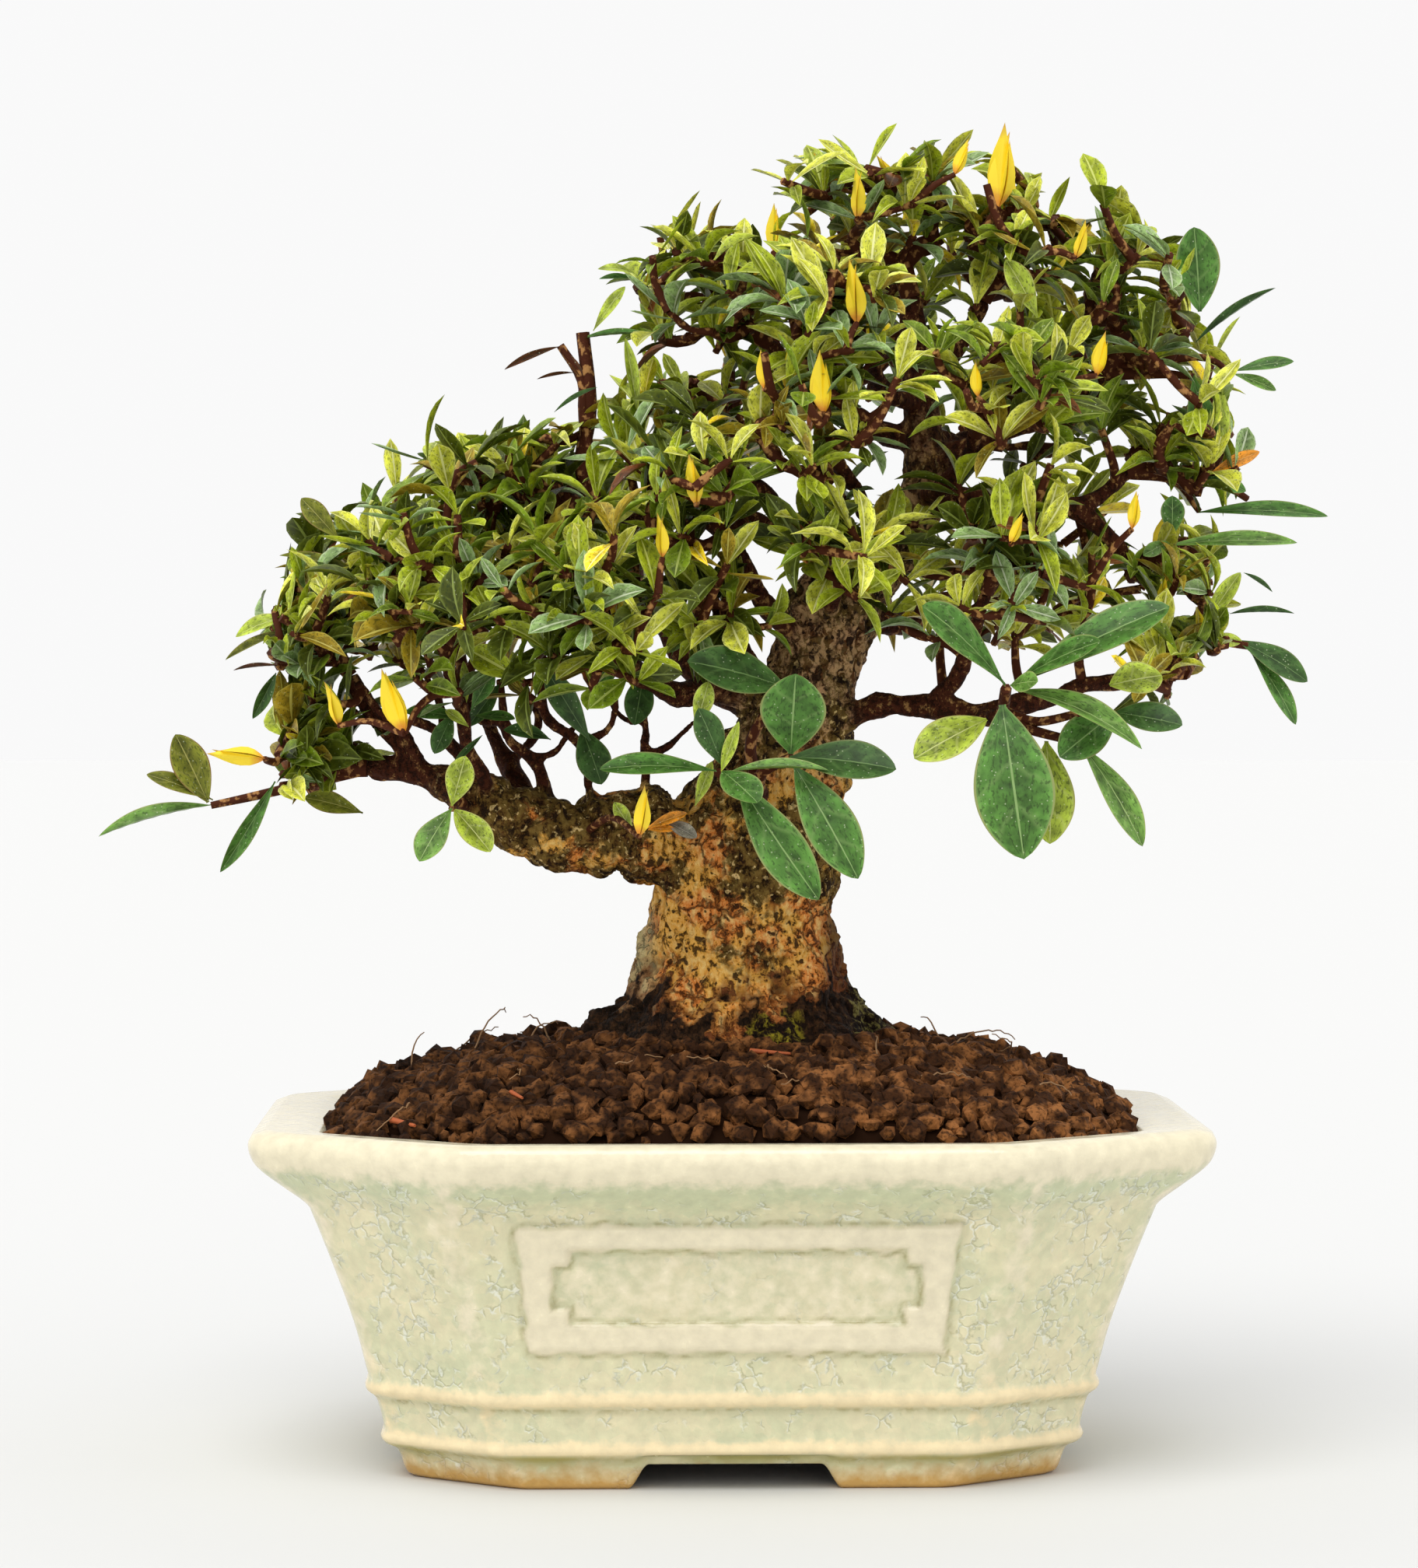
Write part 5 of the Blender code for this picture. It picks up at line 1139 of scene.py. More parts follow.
for i in range(GAP_TRIES):
    row = rng.choice(leafy)
    arrow = any_arrow(rng)
    arrow *= rng.uniform(0.3, 1.15) / np.linalg.norm(arrow)
    place = np.array(row.centre) + arrow * np.array(row.reach)
    if i < len(LOW_FILL):
        place = np.array(LOW_FILL[i], float)
    room = GAP_ROOM / (LEFT_FULLER if place[0] < LEFT_OF else 1.0)
    if np.linalg.norm(tips - place, axis=1).min() < room or not inside_outline(place) or against_sky(place):
        continue
    away = place - wood_points
    cost = np.linalg.norm(away, axis=1) - 0.35 * away[:, 2]
    cost[np.linalg.norm(away, axis=1) < GAP_NEAR] = 1e9
    foot = wood_points[np.argmin(cost)]
    run = np.linalg.norm(place - foot)
    if run > GAP_FAR or not space.clear_of_limbs(between(place + (foot - place) * 0.3, place, 4), 1.0):
        continue
    middle = (place + foot) / 2 - np.array([0.0, 0.0, 0.08 * run]) + anyhow(rng)
    route = smooth_rows([foot, middle, place], 1.6)
    twig_lines.append((route, np.linspace(TWIG_RADIUS + 0.25, TWIG_RADIUS, len(route))))
    shoots_grown.append(shoot_end(route))
    tips = np.vstack([tips, place])
    wood_points = np.vstack([wood_points, route[1:]])
    grown += 1
    if grown == GAP_SHOOTS:
        break


# Leaves: leathery ovals 8 to 14 mm long in rosettes round each shoot's end, folded at a pale
# midrib and curling down, each rosette in its own green with its youngest leaves paler, and here
# and there one in autumn yellow.

LEAF_TINTS = {                  # name: blade, midrib, share of the rosettes inside and on the outside; the darker greens inside are painted shade, the paler ones outside painted light
    "deep_green": ("#444d0a", "#7e8c3c", 0.34, 0.10),
    "green": ("#687e12", "#a0ae50", 0.27, 0.21),
    "grey_green": ("#7c9658", "#bcc8a4", 0.09, 0.14),
    "leaf_green": ("#97a41e", "#c6ce66", 0.12, 0.24),
    "olive": ("#907a1c", "#c2b654", 0.14, 0.12),
    "lime": ("#c2c440", "#e2e294", 0.04, 0.19),
    "autumn_yellow": ("#ffe028", "#fff0a0", 0.0, 0.0),
    "dry_brown": ("#74401c", "#946a40", 0.0, 0.0),
}
# painted light: rosettes dealt paler greens towards the right and darker ones towards the left
PAINTED_LIGHT_TO_THE_RIGHT = ((-60.0, -15.0, 10.0, 70.0), (-0.50, -0.16, 0.14, 0.50))
OLDER = {"lime": "leaf_green", "leaf_green": "green", "green": "deep_green", "olive": "deep_green"}
YOUNGER = {"deep_green": "leaf_green", "green": "leaf_green", "grey_green": "leaf_green",
           "leaf_green": "lime", "olive": "lime", "lime": "lime"}
GOLDEN_ANGLE = math.radians(137.5)
LEAVES_A_SHOOT = (4, 7)
CROWD_REACH = 24.0              # shoots this near make a rosette count as inside the crown
LEAF_CHANCES = {                # a leaf past the outline is left out, any other may take another tint
    "left out": 0.85, "paler": 0.5, "darker": 0.3, "dry": 0.10, "yellow": 0.012}
LEAF_SHADE, LEAF_SPECK, LEAF_HAIR = "#22340f", "#1d2a10", "#cfd8b4"
SMALL_ACROSS = (-1.0, -0.55, -0.09, 0.09, 0.55, 1.0)
BIG_ACROSS = (-1.0, -0.94, -0.5, -0.03, 0.03, 0.5, 0.94, 1.0)


def leaf_form(across, rows_along, width, fold, curl, twist, fullest, blunt=0.85):
    """A leaf one unit long: a grid shaped to its outline, folded, curled and twisted."""
    columns = len(across) - 1
    bm = bmesh.new()
    bmesh.ops.create_grid(bm, x_segments=columns, y_segments=rows_along, size=0.5)
    across_layer, along_layer = bm.verts.layers.float.new("across"), bm.verts.layers.float.new("along")
    for vert in bm.verts:
        u = across[round((vert.co.x + 0.5) * columns)]
        v = (vert.co.y + 0.5) ** 1.1
        vert[across_layer], vert[along_layer] = u, v
        outline = math.sin(math.pi * v ** fullest) ** blunt if 0 < v < 1 else 0.0
        half = width / 2 * max(outline, 0.09 * (1 - v) + 0.002)
        turned = twist * v
        x = u * half
        z = fold * abs(x) - curl * v * v + 0.35 * curl * v
        if rows_along > 12:
            ribs = math.cos(2 * math.pi * (7 * v - 1.6 * abs(u)))
            z += 0.006 * math.sin(math.pi * min(1.0, 3 * abs(u))) * ribs
        vert.co = (x * math.cos(turned), v - 0.25 * abs(curl) * v * v, z + x * math.sin(turned))
    for face in bm.faces:
        column = face.index % columns
        if column == columns // 2:
            face.material_index = 1
        elif columns > 5 and column in (0, columns - 1):
            face.material_index = 2
    bmesh.ops.recalc_face_normals(bm, faces=bm.faces)
    if sum(face.normal.z for face in bm.faces) < 0:
        bmesh.ops.reverse_faces(bm, faces=bm.faces)
    return read_form(bm)


def leaf_surface(name, colour, vein_colour):
    """A leathery leaf: satin, mottled, with scattered dark specks and short pale hairs."""
    material, node, shader = new_material(name, colour, 0.42, 0.24)
    place = node("TexCoord", {}, "Object")
    across, along = (node("Attribute", {}, "Fac", attribute_name=value) for value in ("across", "along"))
    aside = node("Math", (across,), operation="ABSOLUTE")
    mottle = node("TexNoise", {"Vector": place, "Scale": per_mm(2.2), "Detail": 6.0})
    light = node("MapRange", (mottle, 0.32, 0.68, 0.62, 1.55))
    margin = node("MapRange", (aside, 0.2, 0.95, 0.80, 1.45))
    light = node("Math", (light, margin), operation="MULTIPLY")
    base = node("Mix", {0: 1.0, 6: colour, 7: light}, 2, data_type="RGBA", blend_type="MULTIPLY")

    rim = node("MapRange", (aside, 0.80, 0.98, 0.0, 0.6))
    rank = node("Math", (aside, -1.6), operation="MULTIPLY")
    rank = node("Math", (along, 7.0, rank), operation="MULTIPLY_ADD")
    rank = node("Math", (mottle, 0.8, rank), operation="MULTIPLY_ADD")
    vein = node("Math", (rank, 1.0), operation="PINGPONG")
    vein = node("MapRange", (vein, 0.75, 1.0, 0.0, 0.38))
    stroke = node("CombineXYZ", (across, along, mottle))
    stroke = node("Mapping", {"Vector": stroke, "Scale": (9.0, 14.0, 6.0)})
    stroke = node("TexNoise", {"Vector": stroke, "Scale": 1.0, "Detail": 3.0})
    shade = node("MapRange", (stroke, 0.46, 0.36, 0.0, 0.6))
    speck = node("TexVoronoi", {"Vector": place, "Scale": per_mm(1.3)})
    speck = node("MapRange", (speck, 0.20, 0.10, 0.0, 0.55))
    hair = node("TexVoronoi", {"Vector": place, "Scale": per_mm(0.9)})
    hair = node("MapRange", (hair, 0.16, 0.08, 0.0, 0.5))
    base = coated(node, base, (rim, vein_colour), (vein, vein_colour), (shade, LEAF_SHADE),
                  (speck, LEAF_SPECK), (hair, LEAF_HAIR))
    bump = node("Bump", {"Strength": 0.35, "Distance": 0.0002, "Height": mottle})
    feed(shader, {"Base Color": base, "Normal": bump})
    return material


def bud_surface():
    """A closed yellow shoot: orange where it leaves the twig, clear yellow above, tan at its tip."""
    material, node, shader = new_material("autumn_bud", BUD_YELLOW, 0.5)
    along = node("Attribute", {}, "Fac", attribute_name="along")
    place = node("TexCoord", {}, "Object")
    mottle = node("TexNoise", {"Vector": place, "Scale": per_mm(2.0), "Detail": 3.0})
    share = node("Math", (mottle, 0.3, along), operation="MULTIPLY_ADD")
    low = node("MapRange", (share, 0.42, 0.22, 0.0, 0.9))
    high = node("MapRange", (share, 0.98, 1.14, 0.0, 0.9))
    base = coated(node, BUD_YELLOW, (low, BUD_ORANGE), (high, BUD_TIP))
    feed(shader, {"Base Color": base})
    return material


def leaf_place(root, way, up, length, breadth=1.0):
    """A matrix that lays a one-unit leaf from its root along a way, its face turned up."""
    way = unit(np.array(way, float))
    side = unit(np.cross(way, up))
    matrix = np.identity(4)
    matrix[:3, 0], matrix[:3, 1] = side * length * breadth, way * length
    matrix[:3, 2], matrix[:3, 3] = np.cross(side, way) * length, root
    return matrix


LEAF_FORMS = [leaf_form(SMALL_ACROSS, 7, *shape) for shape in (
    (0.35, 0.45, 0.24, 0.10, 1.35, 0.80), (0.30, 0.60, 0.36, -0.25, 1.30, 0.80),
    (0.40, 0.30, 0.14, 0.15, 1.45, 0.75), (0.27, 0.80, 0.48, 0.30, 1.25, 0.80),
    (0.33, 0.40, 0.04, -0.15, 1.40, 0.80), (0.22, 1.00, 0.32, 0.00, 1.20, 0.85),
    (0.37, 0.55, 0.30, -0.35, 1.40, 0.75), (0.28, 0.35, -0.14, 0.25, 1.35, 0.80),
    (0.19, 1.10, 0.60, 0.35, 1.10, 0.90), (0.31, 0.70, 0.22, 0.50, 1.30, 0.80))]
BUD_FORM = len(LEAF_FORMS)
LEAF_FORMS.append(leaf_form(SMALL_ACROSS, 7, 0.30, -0.8, -0.04, 0.15, 0.74, 1.25))
BUD_CLEAR = 3.0                 # no leaf shows this near a placed bud and in front of it
BUD_FORWARD = 0.989             # how far from the camera to its place here each placed bud stands
MORE_BUDS = 22
BUD_BLADES = ((0.0, 1.0, 0.0), (2.4, 0.92, 0.10), (4.3, 0.8, -0.12))    # turn, share of length, lean
BUD_YELLOW, BUD_ORANGE, BUD_TIP = "#ffe22c", "#dc8a26", "#cf9a3c"
PLACED_BUDS = (                 # closed yellow shoots: base, tip
    ((21.6, -8, 209.7), (21.3, -9, 218.5)), ((20.4, -28, 190.6), (19.1, -29, 201.3)),
    ((14.8, -32, 175.5), (13.9, -33, 186.1)), ((45.9, -4, 212.2), (46.9, -4, 226.6)),
    ((38.2, -6, 217.4), (40.6, -6, 223.6)), ((58, -14, 202.6), (59.6, -15, 209.1)),
    ((60.5, -24, 182.3), (61.8, -25, 189.8)), ((45.6, -30, 154.2), (47.6, -31, 159.5)),
    ((-6.1, -30, 160.6), (-7.4, -31, 169.1)), ((-11.7, -30, 152), (-12.5, -31, 159.5)),
    ((-54.2, -26, 123.1), (-58.1, -28, 133.9)), ((-65.5, -18, 124.2), (-67.8, -19, 131.7)),
    ((-15.5, -30, 106.1), (-14.6, -31, 114.7)), ((5, -30, 179.8), (4.4, -31, 186.2)),
    ((40.2, -30, 178.5), (39.7, -31, 184.3)), ((-78.5, -8, 118.5), (-88.4, -9, 119.4)),
    ((66.3, -25, 156.9), (66.9, -26, 163.3)),
)
BIG_SHAPES = (                  # width to length, fold, curl, twist, fullest, bluntness
    (0.36, 0.16, 0.18, 0.1, 1.45, 0.7), (0.5, 0.12, 0.14, -0.1, 1.25, 0.68),
    (0.3, 0.34, 0.34, 0.2, 1.3, 0.78), (0.62, 0.14, 0.1, 0.05, 1.2, 0.62),
    (0.18, 0.8, 0.14, 0.1, 1.1, 0.8), (0.36, 0.16, 0.18, 0.1, 1.85, 0.6),
)
BIG_TINTS = {                   # name: blade, midrib, margin
    "green": ("#476f2c", "#7d9c58", "#86904e"), "bright": ("#618638", "#98b268", "#9aa25c"),
    "dark": ("#365424", "#5c7a40", "#6a763e"), "yellow_green": ("#9fb03a", "#c6cc7c", "#bcbc60"),
    "olive": ("#6a6e20", "#a09c50", "#8a6c34"),
    "orange_husk": ("#d98a26", "#e8ad54", "#c47a28"), "grey_husk": ("#8f8878", "#a8a294", "#79705f"),
    "dry": ("#4c2a14", "#7a4c28", "#5c3a1c"),
}
BIG_STEMS = (                   # the bough that it grows from, then its route and end radius
    ("right_spur", ((44.6, -30, 128), (44.5, -35, 130.5)), 0.95),
    ("front_spur", ((0, -31, 115), (-2.6, -36, 116.8)), 0.8),
    ("front_spur", ((5, -31, 117), (9.4, -35, 119.2)), 0.8),
    ("front_spur", ((3, -29, 122), (8, -32.5, 130.4)), 0.7),
    ("left_spur", ((-46, -19, 111.5), (-46.5, -24, 110.5)), 0.6),
    ("right_spur", ((50, -32, 125), (58.5, -36, 127)), 0.7),
    ("right_spur", ((48, -31, 124), (56.6, -35.5, 121.6)), 0.7),
    ("low_left", ((-70, -4, 114.6), (-80, -4, 112.2), (-87.9, -4, 110.5)), 0.7),
    ("right_outer", ((84, 5, 166), (90, 7, 163)), 0.6),
    ("low_right", ((74, -10, 136.5), (80, -8, 138.6), (88, -8, 137.6)), 0.7),
    ("right_outer", ((77, 4, 166), (81.4, 5, 160.8)), 0.55),
    ("right_middle", ((71, -3, 153), (75.2, -6, 155.4)), 0.6),
    ("right_outer", ((80, 2, 168), (82.6, 0, 167.2)), 0.5),
    ("right_top", ((74, -2, 184), (79, -5, 183.4)), 0.6),
    ("right_top", ((80, -1, 187), (86, -3, 184)), 0.5),
    ("left_upper", ((-25, -7, 168), (-23.6, -6, 178), (-24.8, -6, 190.6)), 1.15),
    ("left_upper", ((-24.6, -6.5, 176), (-25, -6, 182.5), (-28.6, -6, 188.4)), 0.7),
)
BIG_LEAVES = (                  # root, tip, width, shape, tint, the way its face looks
    ((44.3, -35.5, 131), (31.8, -45, 144.8), 7.6, 5, "green", (0.3, -0.8, 0.6)),
    ((45.5, -35.5, 130.8), (69.6, -42, 145.6), 8.2, 5, "green", (-0.1, -0.8, 0.6)),
    ((46, -36, 131.5), (57.6, -46, 139.2), 5.8, 5, "green", (-0.4, -0.7, 0.6)),
    ((46, -36.5, 130.2), (67.2, -45, 124.6), 6.6, 2, "bright", (0, -0.6, 0.8)),
    ((43.8, -36, 127.8), (46.4, -46, 103.6), 13.2, 1, "green", (-0.1, -1, 0.15)),
    ((51.5, -31, 121.8), (52.4, -35, 105.2), 8.4, 1, "yellow_green", (0.3, -0.9, 0.1)),
    ((62.5, -34, 126.5), (53.2, -38, 119.6), 7.2, 3, "green", (0.1, -0.9, 0.4)),
    ((56.6, -36, 121.4), (67.8, -40, 105.6), 7, 0, "bright", (0.5, -0.8, 0.4)),
    ((41.5, -33, 125.4), (29.4, -37, 119.6), 7.8, 3, "yellow_green", (-0.2, -0.8, 0.5)),
    ((62.5, -34, 126.5), (73, -38, 125), 6.6, 3, "dark", (0.1, -0.8, 0.6)),
    ((45, -37, 131), (48.6, -42, 132), 4, 0, "bright", (0, -0.9, 0.4)),
    ((61.5, -35, 131), (70.4, -33, 133), 7, 3, "yellow_green", (-0.3, -0.8, 0.5)),
    ((-3, -37, 117), (-21.8, -42, 119.3), 5.4, 0, "green", (0, -0.6, 0.8)),
    ((-2, -37.5, 117.8), (-5.6, -41, 127.2), 5, 0, "dark", (0.2, -0.9, 0.2)),
    ((-6.4, -36, 124), (-4.2, -37, 131.6), 3.4, 0, "yellow_green", (0.1, -0.9, 0.2)),
    ((-2.2, -37.5, 117), (0.5, -40, 125), 2.2, 4, "yellow_green", (0, -0.9, 0.2)),
    ((-2, -37.5, 117), (3.4, -45, 112.6), 6.4, 3, "green", (0.1, -0.8, 0.6)),
    ((-1, -37, 116.8), (15, -41, 118.5), 3, 4, "bright", (0, -0.5, 0.9)),
    ((9, -35.5, 119.2), (26, -41, 118.6), 8.6, 1, "dark", (0.1, -0.7, 0.7)),
    ((9.2, -35.8, 119.8), (9.6, -42, 132.4), 10.8, 1, "green", (-0.1, -1, 0.2)),
    ((0, -36.5, 116.2), (12.6, -46, 96.6), 8, 0, "green", (-0.4, -0.9, 0.3)),
    ((9.8, -36, 117.8), (20, -44, 100.4), 8.6, 1, "green", (0.1, -0.95, 0.3)),
    ((8.6, -33, 130.6), (-7.2, -38, 135.8), 9.6, 1, "dark", (0.1, -0.8, 0.6)),
    ((-87.9, -4, 110.5), (-107.2, -6, 106.8), 3.6, 4, "bright", (0, -0.5, 0.9)),
    ((-88.4, -4.5, 111), (-93.4, -7, 122.6), 6.5, 1, "olive", (0.2, -0.9, 0.2)),
    ((-87.6, -4, 111.4), (-98, -8, 116.6), 3.4, 0, "olive", (0.2, -0.8, 0.6)),
    ((-77, -5, 114.6), (-86, -8, 98.4), 3.2, 2, "green", (0.3, -0.9, 0.2)),
    ((-62, -8, 109.3), (-71.4, -11, 112.6), 4.2, 0, "olive", (0, -0.8, 0.5)),
    ((-46.5, -25, 111), (-44.2, -29, 119), 4.8, 0, "yellow_green", (0.1, -0.9, 0.3)),
    ((-14.3, -25, 107.2), (-7.8, -27, 110.2), 2.2, 0, "orange_husk", (0.1, -0.8, 0.5)),
    ((-14, -25, 107), (-9.6, -27, 107.6), 1.8, 2, "orange_husk", (0.1, -0.8, 0.5)),
    ((-10.8, -25, 108.3), (-6, -27, 106), 2.9, 3, "grey_husk", (0.1, -0.8, 0.5)),
    ((-16.6, -25, 106.6), (-19.4, -27, 111.6), 2.6, 0, "yellow_green", (0.1, -0.9, 0.3)),
    ((-6.2, -25, 111), (-3.4, -27, 118.4), 2.4, 2, "yellow_green", (0.1, -0.9, 0.3)),
    ((-25, -10, 123.5), (-21.5, -13, 114.5), 6, 1, "dark", (0.2, -0.9, 0.2)),
    ((-23.6, -14, 121.6), (-31, -16, 133.4), 4.8, 0, "dark", (-0.3, -0.9, 0.3)),
    ((-30.2, -15, 121.8), (-37.6, -18, 124.6), 3, 2, "dark", (0.2, -0.8, 0.6)),
    ((-44.4, -18, 127.6), (-44.6, -19, 135), 1.8, 4, "yellow_green", (0.1, -0.9, 0.2)),
    ((-43.4, -18, 127), (-39.8, -20, 133.2), 3.2, 0, "green", (0.1, -0.9, 0.3)),
    ((-43, -18, 125.8), (-36.2, -21, 126), 2.8, 0, "green", (0.1, -0.7, 0.7)),
    ((-44.6, -18, 125.4), (-54, -22, 127.4), 3.4, 0, "green", (0, -0.7, 0.7)),
    ((-46.6, -19, 126), (-49.4, -22, 119.8), 3.6, 1, "dark", (0.1, -0.9, 0.3)),
    ((-43.8, -19, 124), (-47.4, -21, 127), 2, 0, "yellow_green", (0.1, -0.8, 0.5)),
    ((-19.6, -16, 138.2), (-22.4, -19, 130.6), 4.6, 1, "green", (0.1, -0.9, 0.3)),
    ((-41.6, -16, 122.6), (-46.6, -17, 117.8), 1.1, 4, "dark", (0.2, -0.9, 0.3)),
    ((-28.8, -6, 188.2), (-38.1, -8, 184.6), 1.3, 4, "dry", (0.2, -0.8, 0.5)),
    ((-26.2, -6, 183.8), (-32.5, -8, 182.9), 0.7, 4, "dry", (0.1, -0.8, 0.5)),
    ((-28.2, -6, 187.4), (-24.6, -7, 183), 1.6, 4, "dry", (0.1, -0.9, 0.1)),
    ((-25.2, -6.5, 189.4), (-13.7, -9, 191), 1.6, 4, "green", (0, -0.6, 0.8)),
    ((-23, -7, 190.8), (-18, -9, 198.4), 2.4, 0, "yellow_green", (-0.3, -0.9, 0.2)),
    ((-15.6, -9, 177), (-17.4, -10, 189.6), 2.2, 4, "yellow_green", (0.2, -0.9, 0.1)),
    ((-15.6, -8, 200.2), (-22, -10, 202.2), 1.8, 2, "yellow_green", (0.1, -0.7, 0.7)),
    ((-16, -8, 199.6), (-22, -9, 199.8), 1.4, 4, "green", (0.1, -0.7, 0.7)),
    ((-14.5, -10, 133), (-16, -14, 124.5), 5, 1, "dark", (0.1, -0.9, 0.2)),
    ((-39, -10, 131), (-44, -13, 124), 3.2, 4, "dark", (0.3, -0.9, 0.3)),
    ((-46.5, -25, 110.6), (-52, -30, 102.6), 5.4, 0, "bright", (-0.3, -0.9, 0.3)),
    ((-46, -25, 110.4), (-40, -30, 104), 5.4, 3, "yellow_green", (0.3, -0.9, 0.3)),
    ((81, 5, 160.6), (104.6, 6, 161.8), 4, 0, "green", (0, -0.8, 0.6)),
    ((74.4, -6, 154.6), (97, -7, 156.8), 3.8, 0, "bright", (0, -0.8, 0.6)),
    ((86, -8, 138.6), (98.6, -10, 132.4), 6, 0, "dark", (0.3, -0.8, 0.5)),
    ((88.4, -8.5, 136.6), (96.8, -11, 124.8), 4.4, 0, "green", (0.5, -0.8, 0.2)),
    ((85, -7, 143), (96, -8, 143.8), 1.7, 4, "dark", (0, -0.7, 0.7)),
    ((80.2, -8, 140.2), (86.4, -9, 150.4), 3.4, 0, "yellow_green", (-0.3, -0.9, 0.2)),
    ((80.2, -8, 138.4), (87, -9, 138.7), 2.8, 0, "yellow_green", (0, -0.9, 0.4)),
    ((87.4, -7, 150), (92.4, -8, 147), 1.2, 4, "dark", (0, -0.7, 0.7)),
    ((75.2, -6.5, 156), (75.3, -8, 163), 4.2, 0, "green", (0.1, -0.9, 0.3)),
    ((75.2, -6.5, 155.4), (70.2, -8, 153.2), 2.6, 0, "bright", (0, -0.9, 0.4)),
    ((82.4, 0, 167), (91, -1, 171.2), 2.6, 0, "orange_husk", (0, -0.9, 0.3)),
    ((81.8, 0, 166.6), (88.6, -2, 164.4), 3, 0, "green", (0, -0.9, 0.4)),
    ((83.6, -5, 182.4), (83.2, -7, 171.6), 4, 0, "yellow_green", (0.2, -0.9, 0.1)),
    ((79, -5, 183.6), (81.4, -7, 170.8), 5.2, 0, "green", (-0.3, -0.9, 0.1)),
    ((86, -3, 184), (93.6, -4, 181.6), 2.6, 0, "bright", (0, -0.8, 0.5)),
    ((86.2, -3, 184.4), (96.4, -4, 186.8), 2.8, 0, "green", (0, -0.8, 0.5)),
    ((-63.3, -8, 150.3), (-75.8, -9, 153.6), 2, 4, "olive", (0, -0.7, 0.7)),
    ((-73.4, -8, 142.4), (-84.2, -9, 140.7), 3.2, 2, "yellow_green", (0, -0.7, 0.7)),
    ((-74.6, -8, 140.2), (-85.4, -9, 135.8), 1.8, 4, "olive", (0.1, -0.7, 0.7)),
    ((-76, -8, 134.2), (-83.8, -9, 133.9), 0.9, 4, "dry", (0.1, -0.7, 0.7)),
    ((-76.6, -8, 133), (-80.4, -9, 125.2), 2.4, 4, "dark", (0.3, -0.9, 0.2)),
    ((-66, -8, 155.6), (-72.2, -9, 162.6), 3.8, 0, "olive", (-0.2, -0.9, 0.4)),
    ((-29.6, -8, 177), (-22.6, -9, 181.6), 1.2, 4, "dark", (0.1, -0.7, 0.7)),
    ((78.9, -14, 193.7), (77.9, -16, 207.6), 7.6, 3, "green", (0.1, -0.9, 0.3)),
    ((51, -20, 192.2), (46, -23, 201.8), 4.6, 0, "yellow_green", (0.2, -0.9, 0.3)),
    ((79.5, -4, 189.2), (92.6, -5, 199.4), 1.9, 4, "dark", (-0.4, -0.7, 0.5)),
)
rng = random.Random("leaves %d" % SEED)
laid = {name: [] for name in LEAF_TINTS}
bud_blades = []
names = list(LEAF_TINTS)
inner, outer = (np.array([LEAF_TINTS[name][i] for name in names]) for i in (2, 3))
shoot_places = np.array([shoot.place for shoot in shoots_grown])
crown_middle = np.array([10.0, 0.0, 150.0])
placed_buds = CAMERA_PLACE + (np.array(PLACED_BUDS) - CAMERA_PLACE) * BUD_FORWARD
bud_points = np.vstack([base + (tip - base) * share for base, tip in placed_buds
                        for share in (0.1, 0.4, 0.7, 1.0)])
bud_views = np.array([in_view(point) for point in bud_points])


def hides_a_bud(root, tip):
    """Whether a leaf would stand in front of a placed bud in the camera's view."""
    for point in between(root, tip, 5):
        near = np.linalg.norm(bud_views - np.array(in_view(point)), axis=1) < BUD_CLEAR
        if np.any(near & (point[1] < bud_points[:, 1])):
            return True
    return False


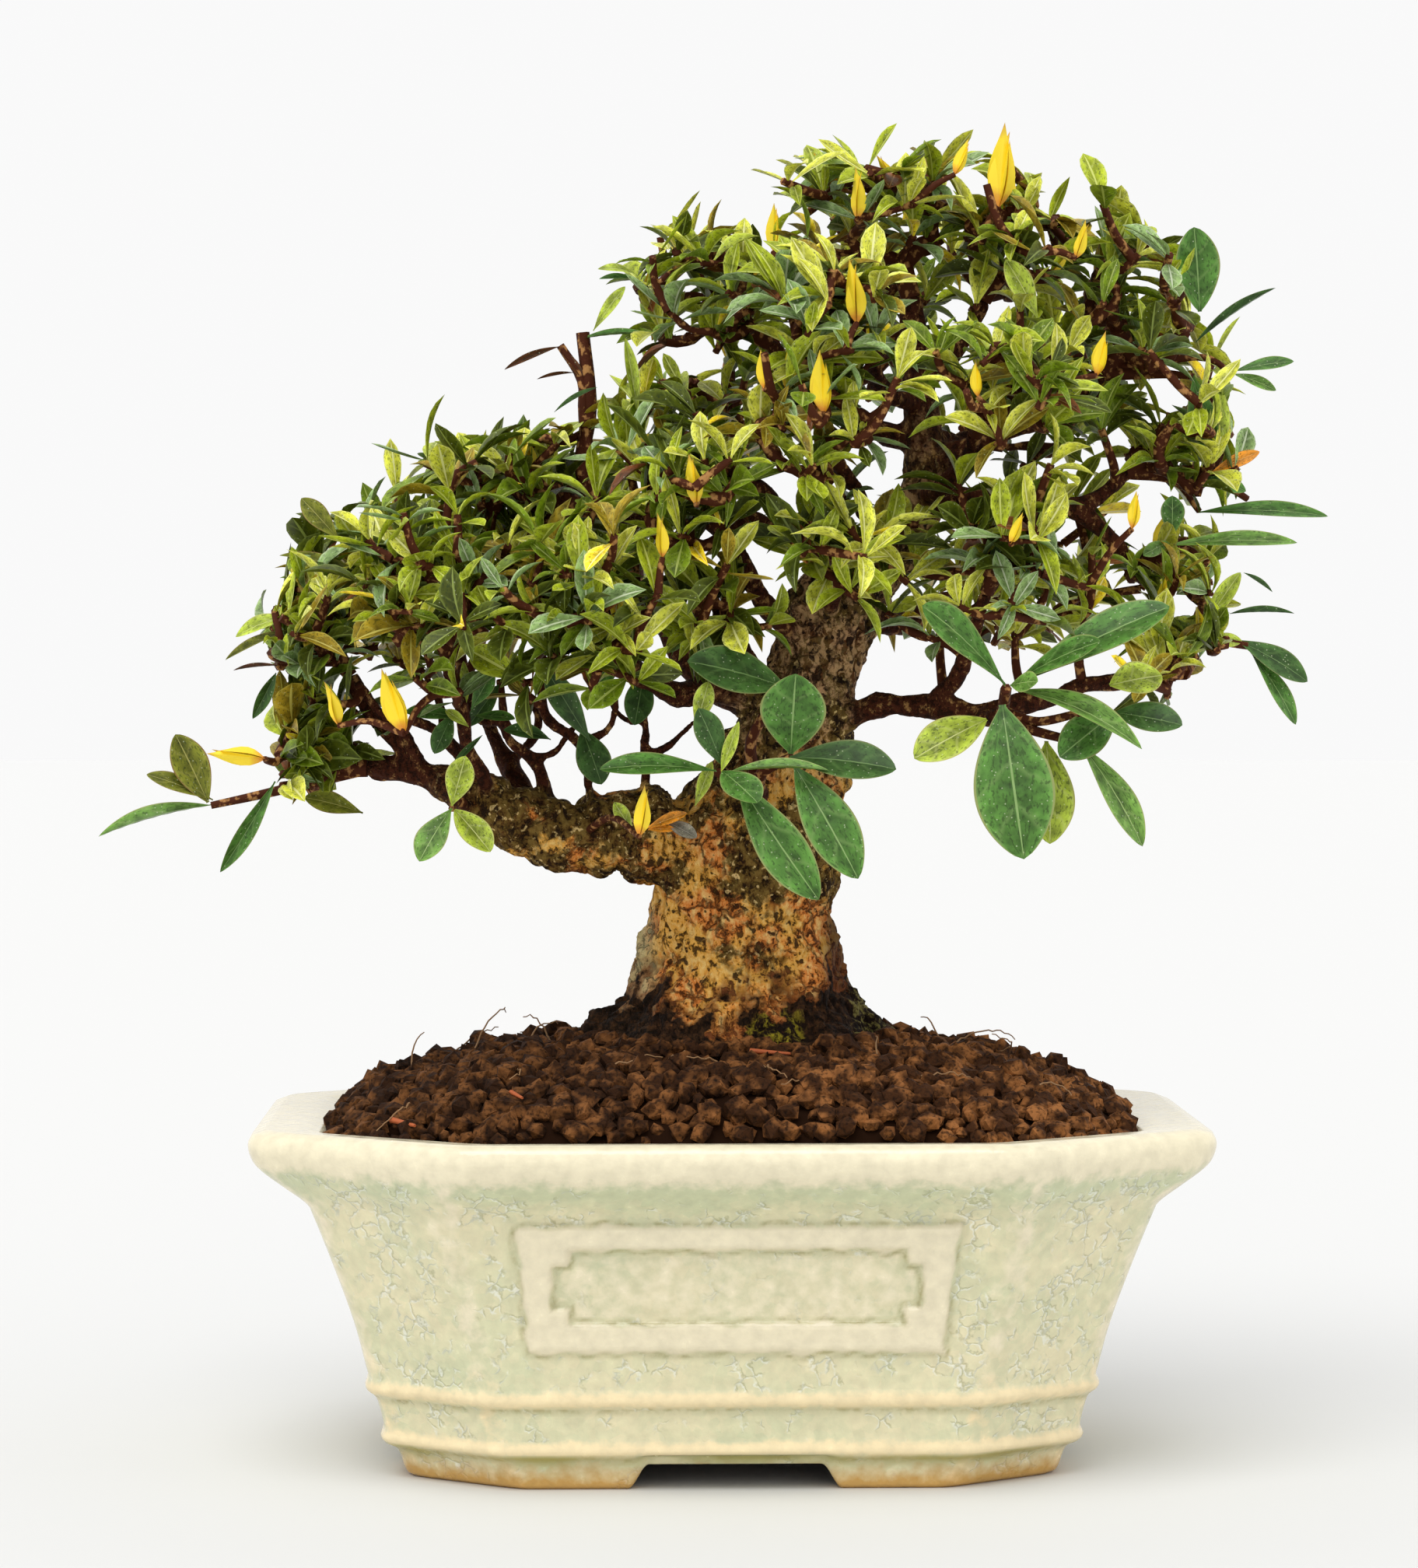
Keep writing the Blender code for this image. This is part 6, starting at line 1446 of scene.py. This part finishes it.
for shoot in shoots_grown:
    around = shoot_places - shoot.place
    gaps = np.linalg.norm(around, axis=1)
    near = (gaps > 0.1) & (gaps < CROWD_REACH)
    crowd = (around[near] / gaps[near, None]).mean(axis=0)
    # painted light and shade: rosettes outside and on top of the crown take paler greens, those inside and
    # below darker ones
    outer_and_lit = 1.5 * np.linalg.norm(crowd) - 0.6 * crowd[2] + np.interp(shoot.place[0], *PAINTED_LIGHT_TO_THE_RIGHT)
    outer_and_lit = float(np.clip(outer_and_lit, 0.0, 1.0))
    tint = rng.choices(names, inner + (outer - inner) * outer_and_lit)[0]
    out = unit(shoot.place - crown_middle)
    axis = unit(shoot.arrow * 0.40 + out * 0.35 + np.array([0.0, 0.0, 0.60]))
    side = unit(np.cross(axis, (0.3, 0.8, 0.1)))
    other = np.cross(axis, side)
    turn = rng.uniform(0, 2 * math.pi)
    count = rng.randint(*LEAVES_A_SHOOT)
    size = LEAF * rng.uniform(0.72, 1.15)
    for i in range(count):
        for attempt in range(4):
            age = i / max(count - 1, 1)
            angle = turn + i * GOLDEN_ANGLE + attempt * 1.3
            spread = math.radians(22 + 66 * age ** 0.7 + rng.uniform(-14, 14))
            around = side * math.cos(angle) + other * math.sin(angle)
            way = axis * math.cos(spread) + around * math.sin(spread)
            up = axis * math.sin(spread) - around * math.cos(spread) + np.array([0, 0, 0.25])
            length = size * (0.62 + 0.38 * math.sin(math.pi * (0.25 + 0.6 * age))) * rng.uniform(0.82, 1.15)
            root = shoot.place - shoot.arrow * (0.2 + 0.5 * i)
            up = up + anyhow(rng, 0.45)
            if hides_a_bud(root, root + way * length):
                continue
            blade = between(root, root + way * length, 5)[1:]
            if inside_outline(root + way * length * 0.9) and not any(map(against_sky, blade)):
                break
        else:
            if rng.random() < LEAF_CHANCES["left out"] or hides_a_bud(root, root + way * length):
                continue
        own = YOUNGER.get(tint, tint) if i < 2 and rng.random() < LEAF_CHANCES["paler"] else tint
        if i > 2 and rng.random() < LEAF_CHANCES["darker"]:
            own = OLDER.get(tint, tint)
        if i == count - 1 and rng.random() < LEAF_CHANCES["dry"]:
            own = "dry_brown"
        elif rng.random() < LEAF_CHANCES["yellow"]:
            own = "autumn_yellow"
        form = rng.randrange(BUD_FORM)
        laid[own].append((form, leaf_place(root, way, up, length, rng.uniform(0.88, 1.15))))


def reach_tree(place, heading):
    """A stalk that joins a shoot's foot to the nearest grown wood."""
    wood = grown_wood()
    away = wood - place
    cost = np.linalg.norm(away, axis=1) + 0.6 * (away @ heading)
    end = wood[np.argmin(np.where(np.linalg.norm(away, axis=1) > 3.0, cost, 1e9))]
    bend = (place + end) / 2 + heading * 0.1 * np.linalg.norm(end - place)
    route = smooth_rows([place, bend, end], 1.6)
    return route, np.linspace(0.5, 0.75, len(route))


rng = random.Random("buds %d" % SEED)
buds = list(placed_buds)
for shoot in rng.sample(shoots_grown, MORE_BUDS):
    way = shoot.arrow * 0.5 + np.array([rng.uniform(-0.3, 0.3), rng.uniform(-0.3, 0.3), 1.0])
    buds.append((shoot.place, shoot.place + way / np.linalg.norm(way) * rng.uniform(5.0, 9.0)))
for base, tip in buds:
    way = tip - base
    length = np.linalg.norm(way)
    facing = np.array([rng.uniform(-0.6, 0.6), -1.0, 0.0])
    for turned, share, lean in BUD_BLADES:
        spun = Matrix.Rotation(turned, 3, Vector(way).normalized()) @ Vector(facing)
        along = way / length + np.array(spun) * lean
        bud_blades.append((BUD_FORM, leaf_place(base, along, np.array(spun), length * share)))
    twig_lines.append(reach_tree(base, way / length))

big_forms = [leaf_form(BIG_ACROSS, 40, *shape) for shape in BIG_SHAPES]
big_laid = {name: [] for name in BIG_TINTS}
for root, tip, width, form, tint, facing in BIG_LEAVES:
    root, tip = np.array(root, float), np.array(tip, float)
    length = np.linalg.norm(tip - root) * 1.03
    breadth = width / (length * BIG_SHAPES[form][0])
    big_laid[tint].append((form, leaf_place(root, tip - root, np.array(facing, float), length, breadth)))
for bough, route, radius in BIG_STEMS:
    start = limb_lines[bough][-1]
    route = smooth_rows([start[:3], *route], 1.6)
    twig_lines.append((route, np.linspace(min(start[3], 1.3), radius, len(route))))

for name in names:
    blade = leaf_surface("azalea_leaf_" + name, *LEAF_TINTS[name][:2])
    rib = new_material("azalea_midrib_" + name, LEAF_TINTS[name][1], 0.5)[0]
    leaves = scatter("leaves_" + name, LEAF_FORMS, laid[name], [blade, rib])
    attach(leaves, "root")
    if name == "green":
        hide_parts(*("foliage_" + row.name for row in ROWS))
yellow_shoots = scatter("autumn_buds", LEAF_FORMS, bud_blades, [bud_surface()] * 2)
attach(yellow_shoots, "root")
for name in BIG_TINTS:
    blade, rib, margin = BIG_TINTS[name]
    finishes = [leaf_surface("big_leaf_" + name, blade, rib), new_material("big_midrib_" + name, rib, 0.5)[0],
                new_material("big_margin_" + name, margin, 0.55)[0]]
    leaves = scatter("big_leaves_" + name, big_forms, big_laid[name], finishes)
    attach(leaves, "root")

twigs = mesh_object("twigs", tubes("twigs", twig_lines, 1), twig_bark())
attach(twigs, "root")
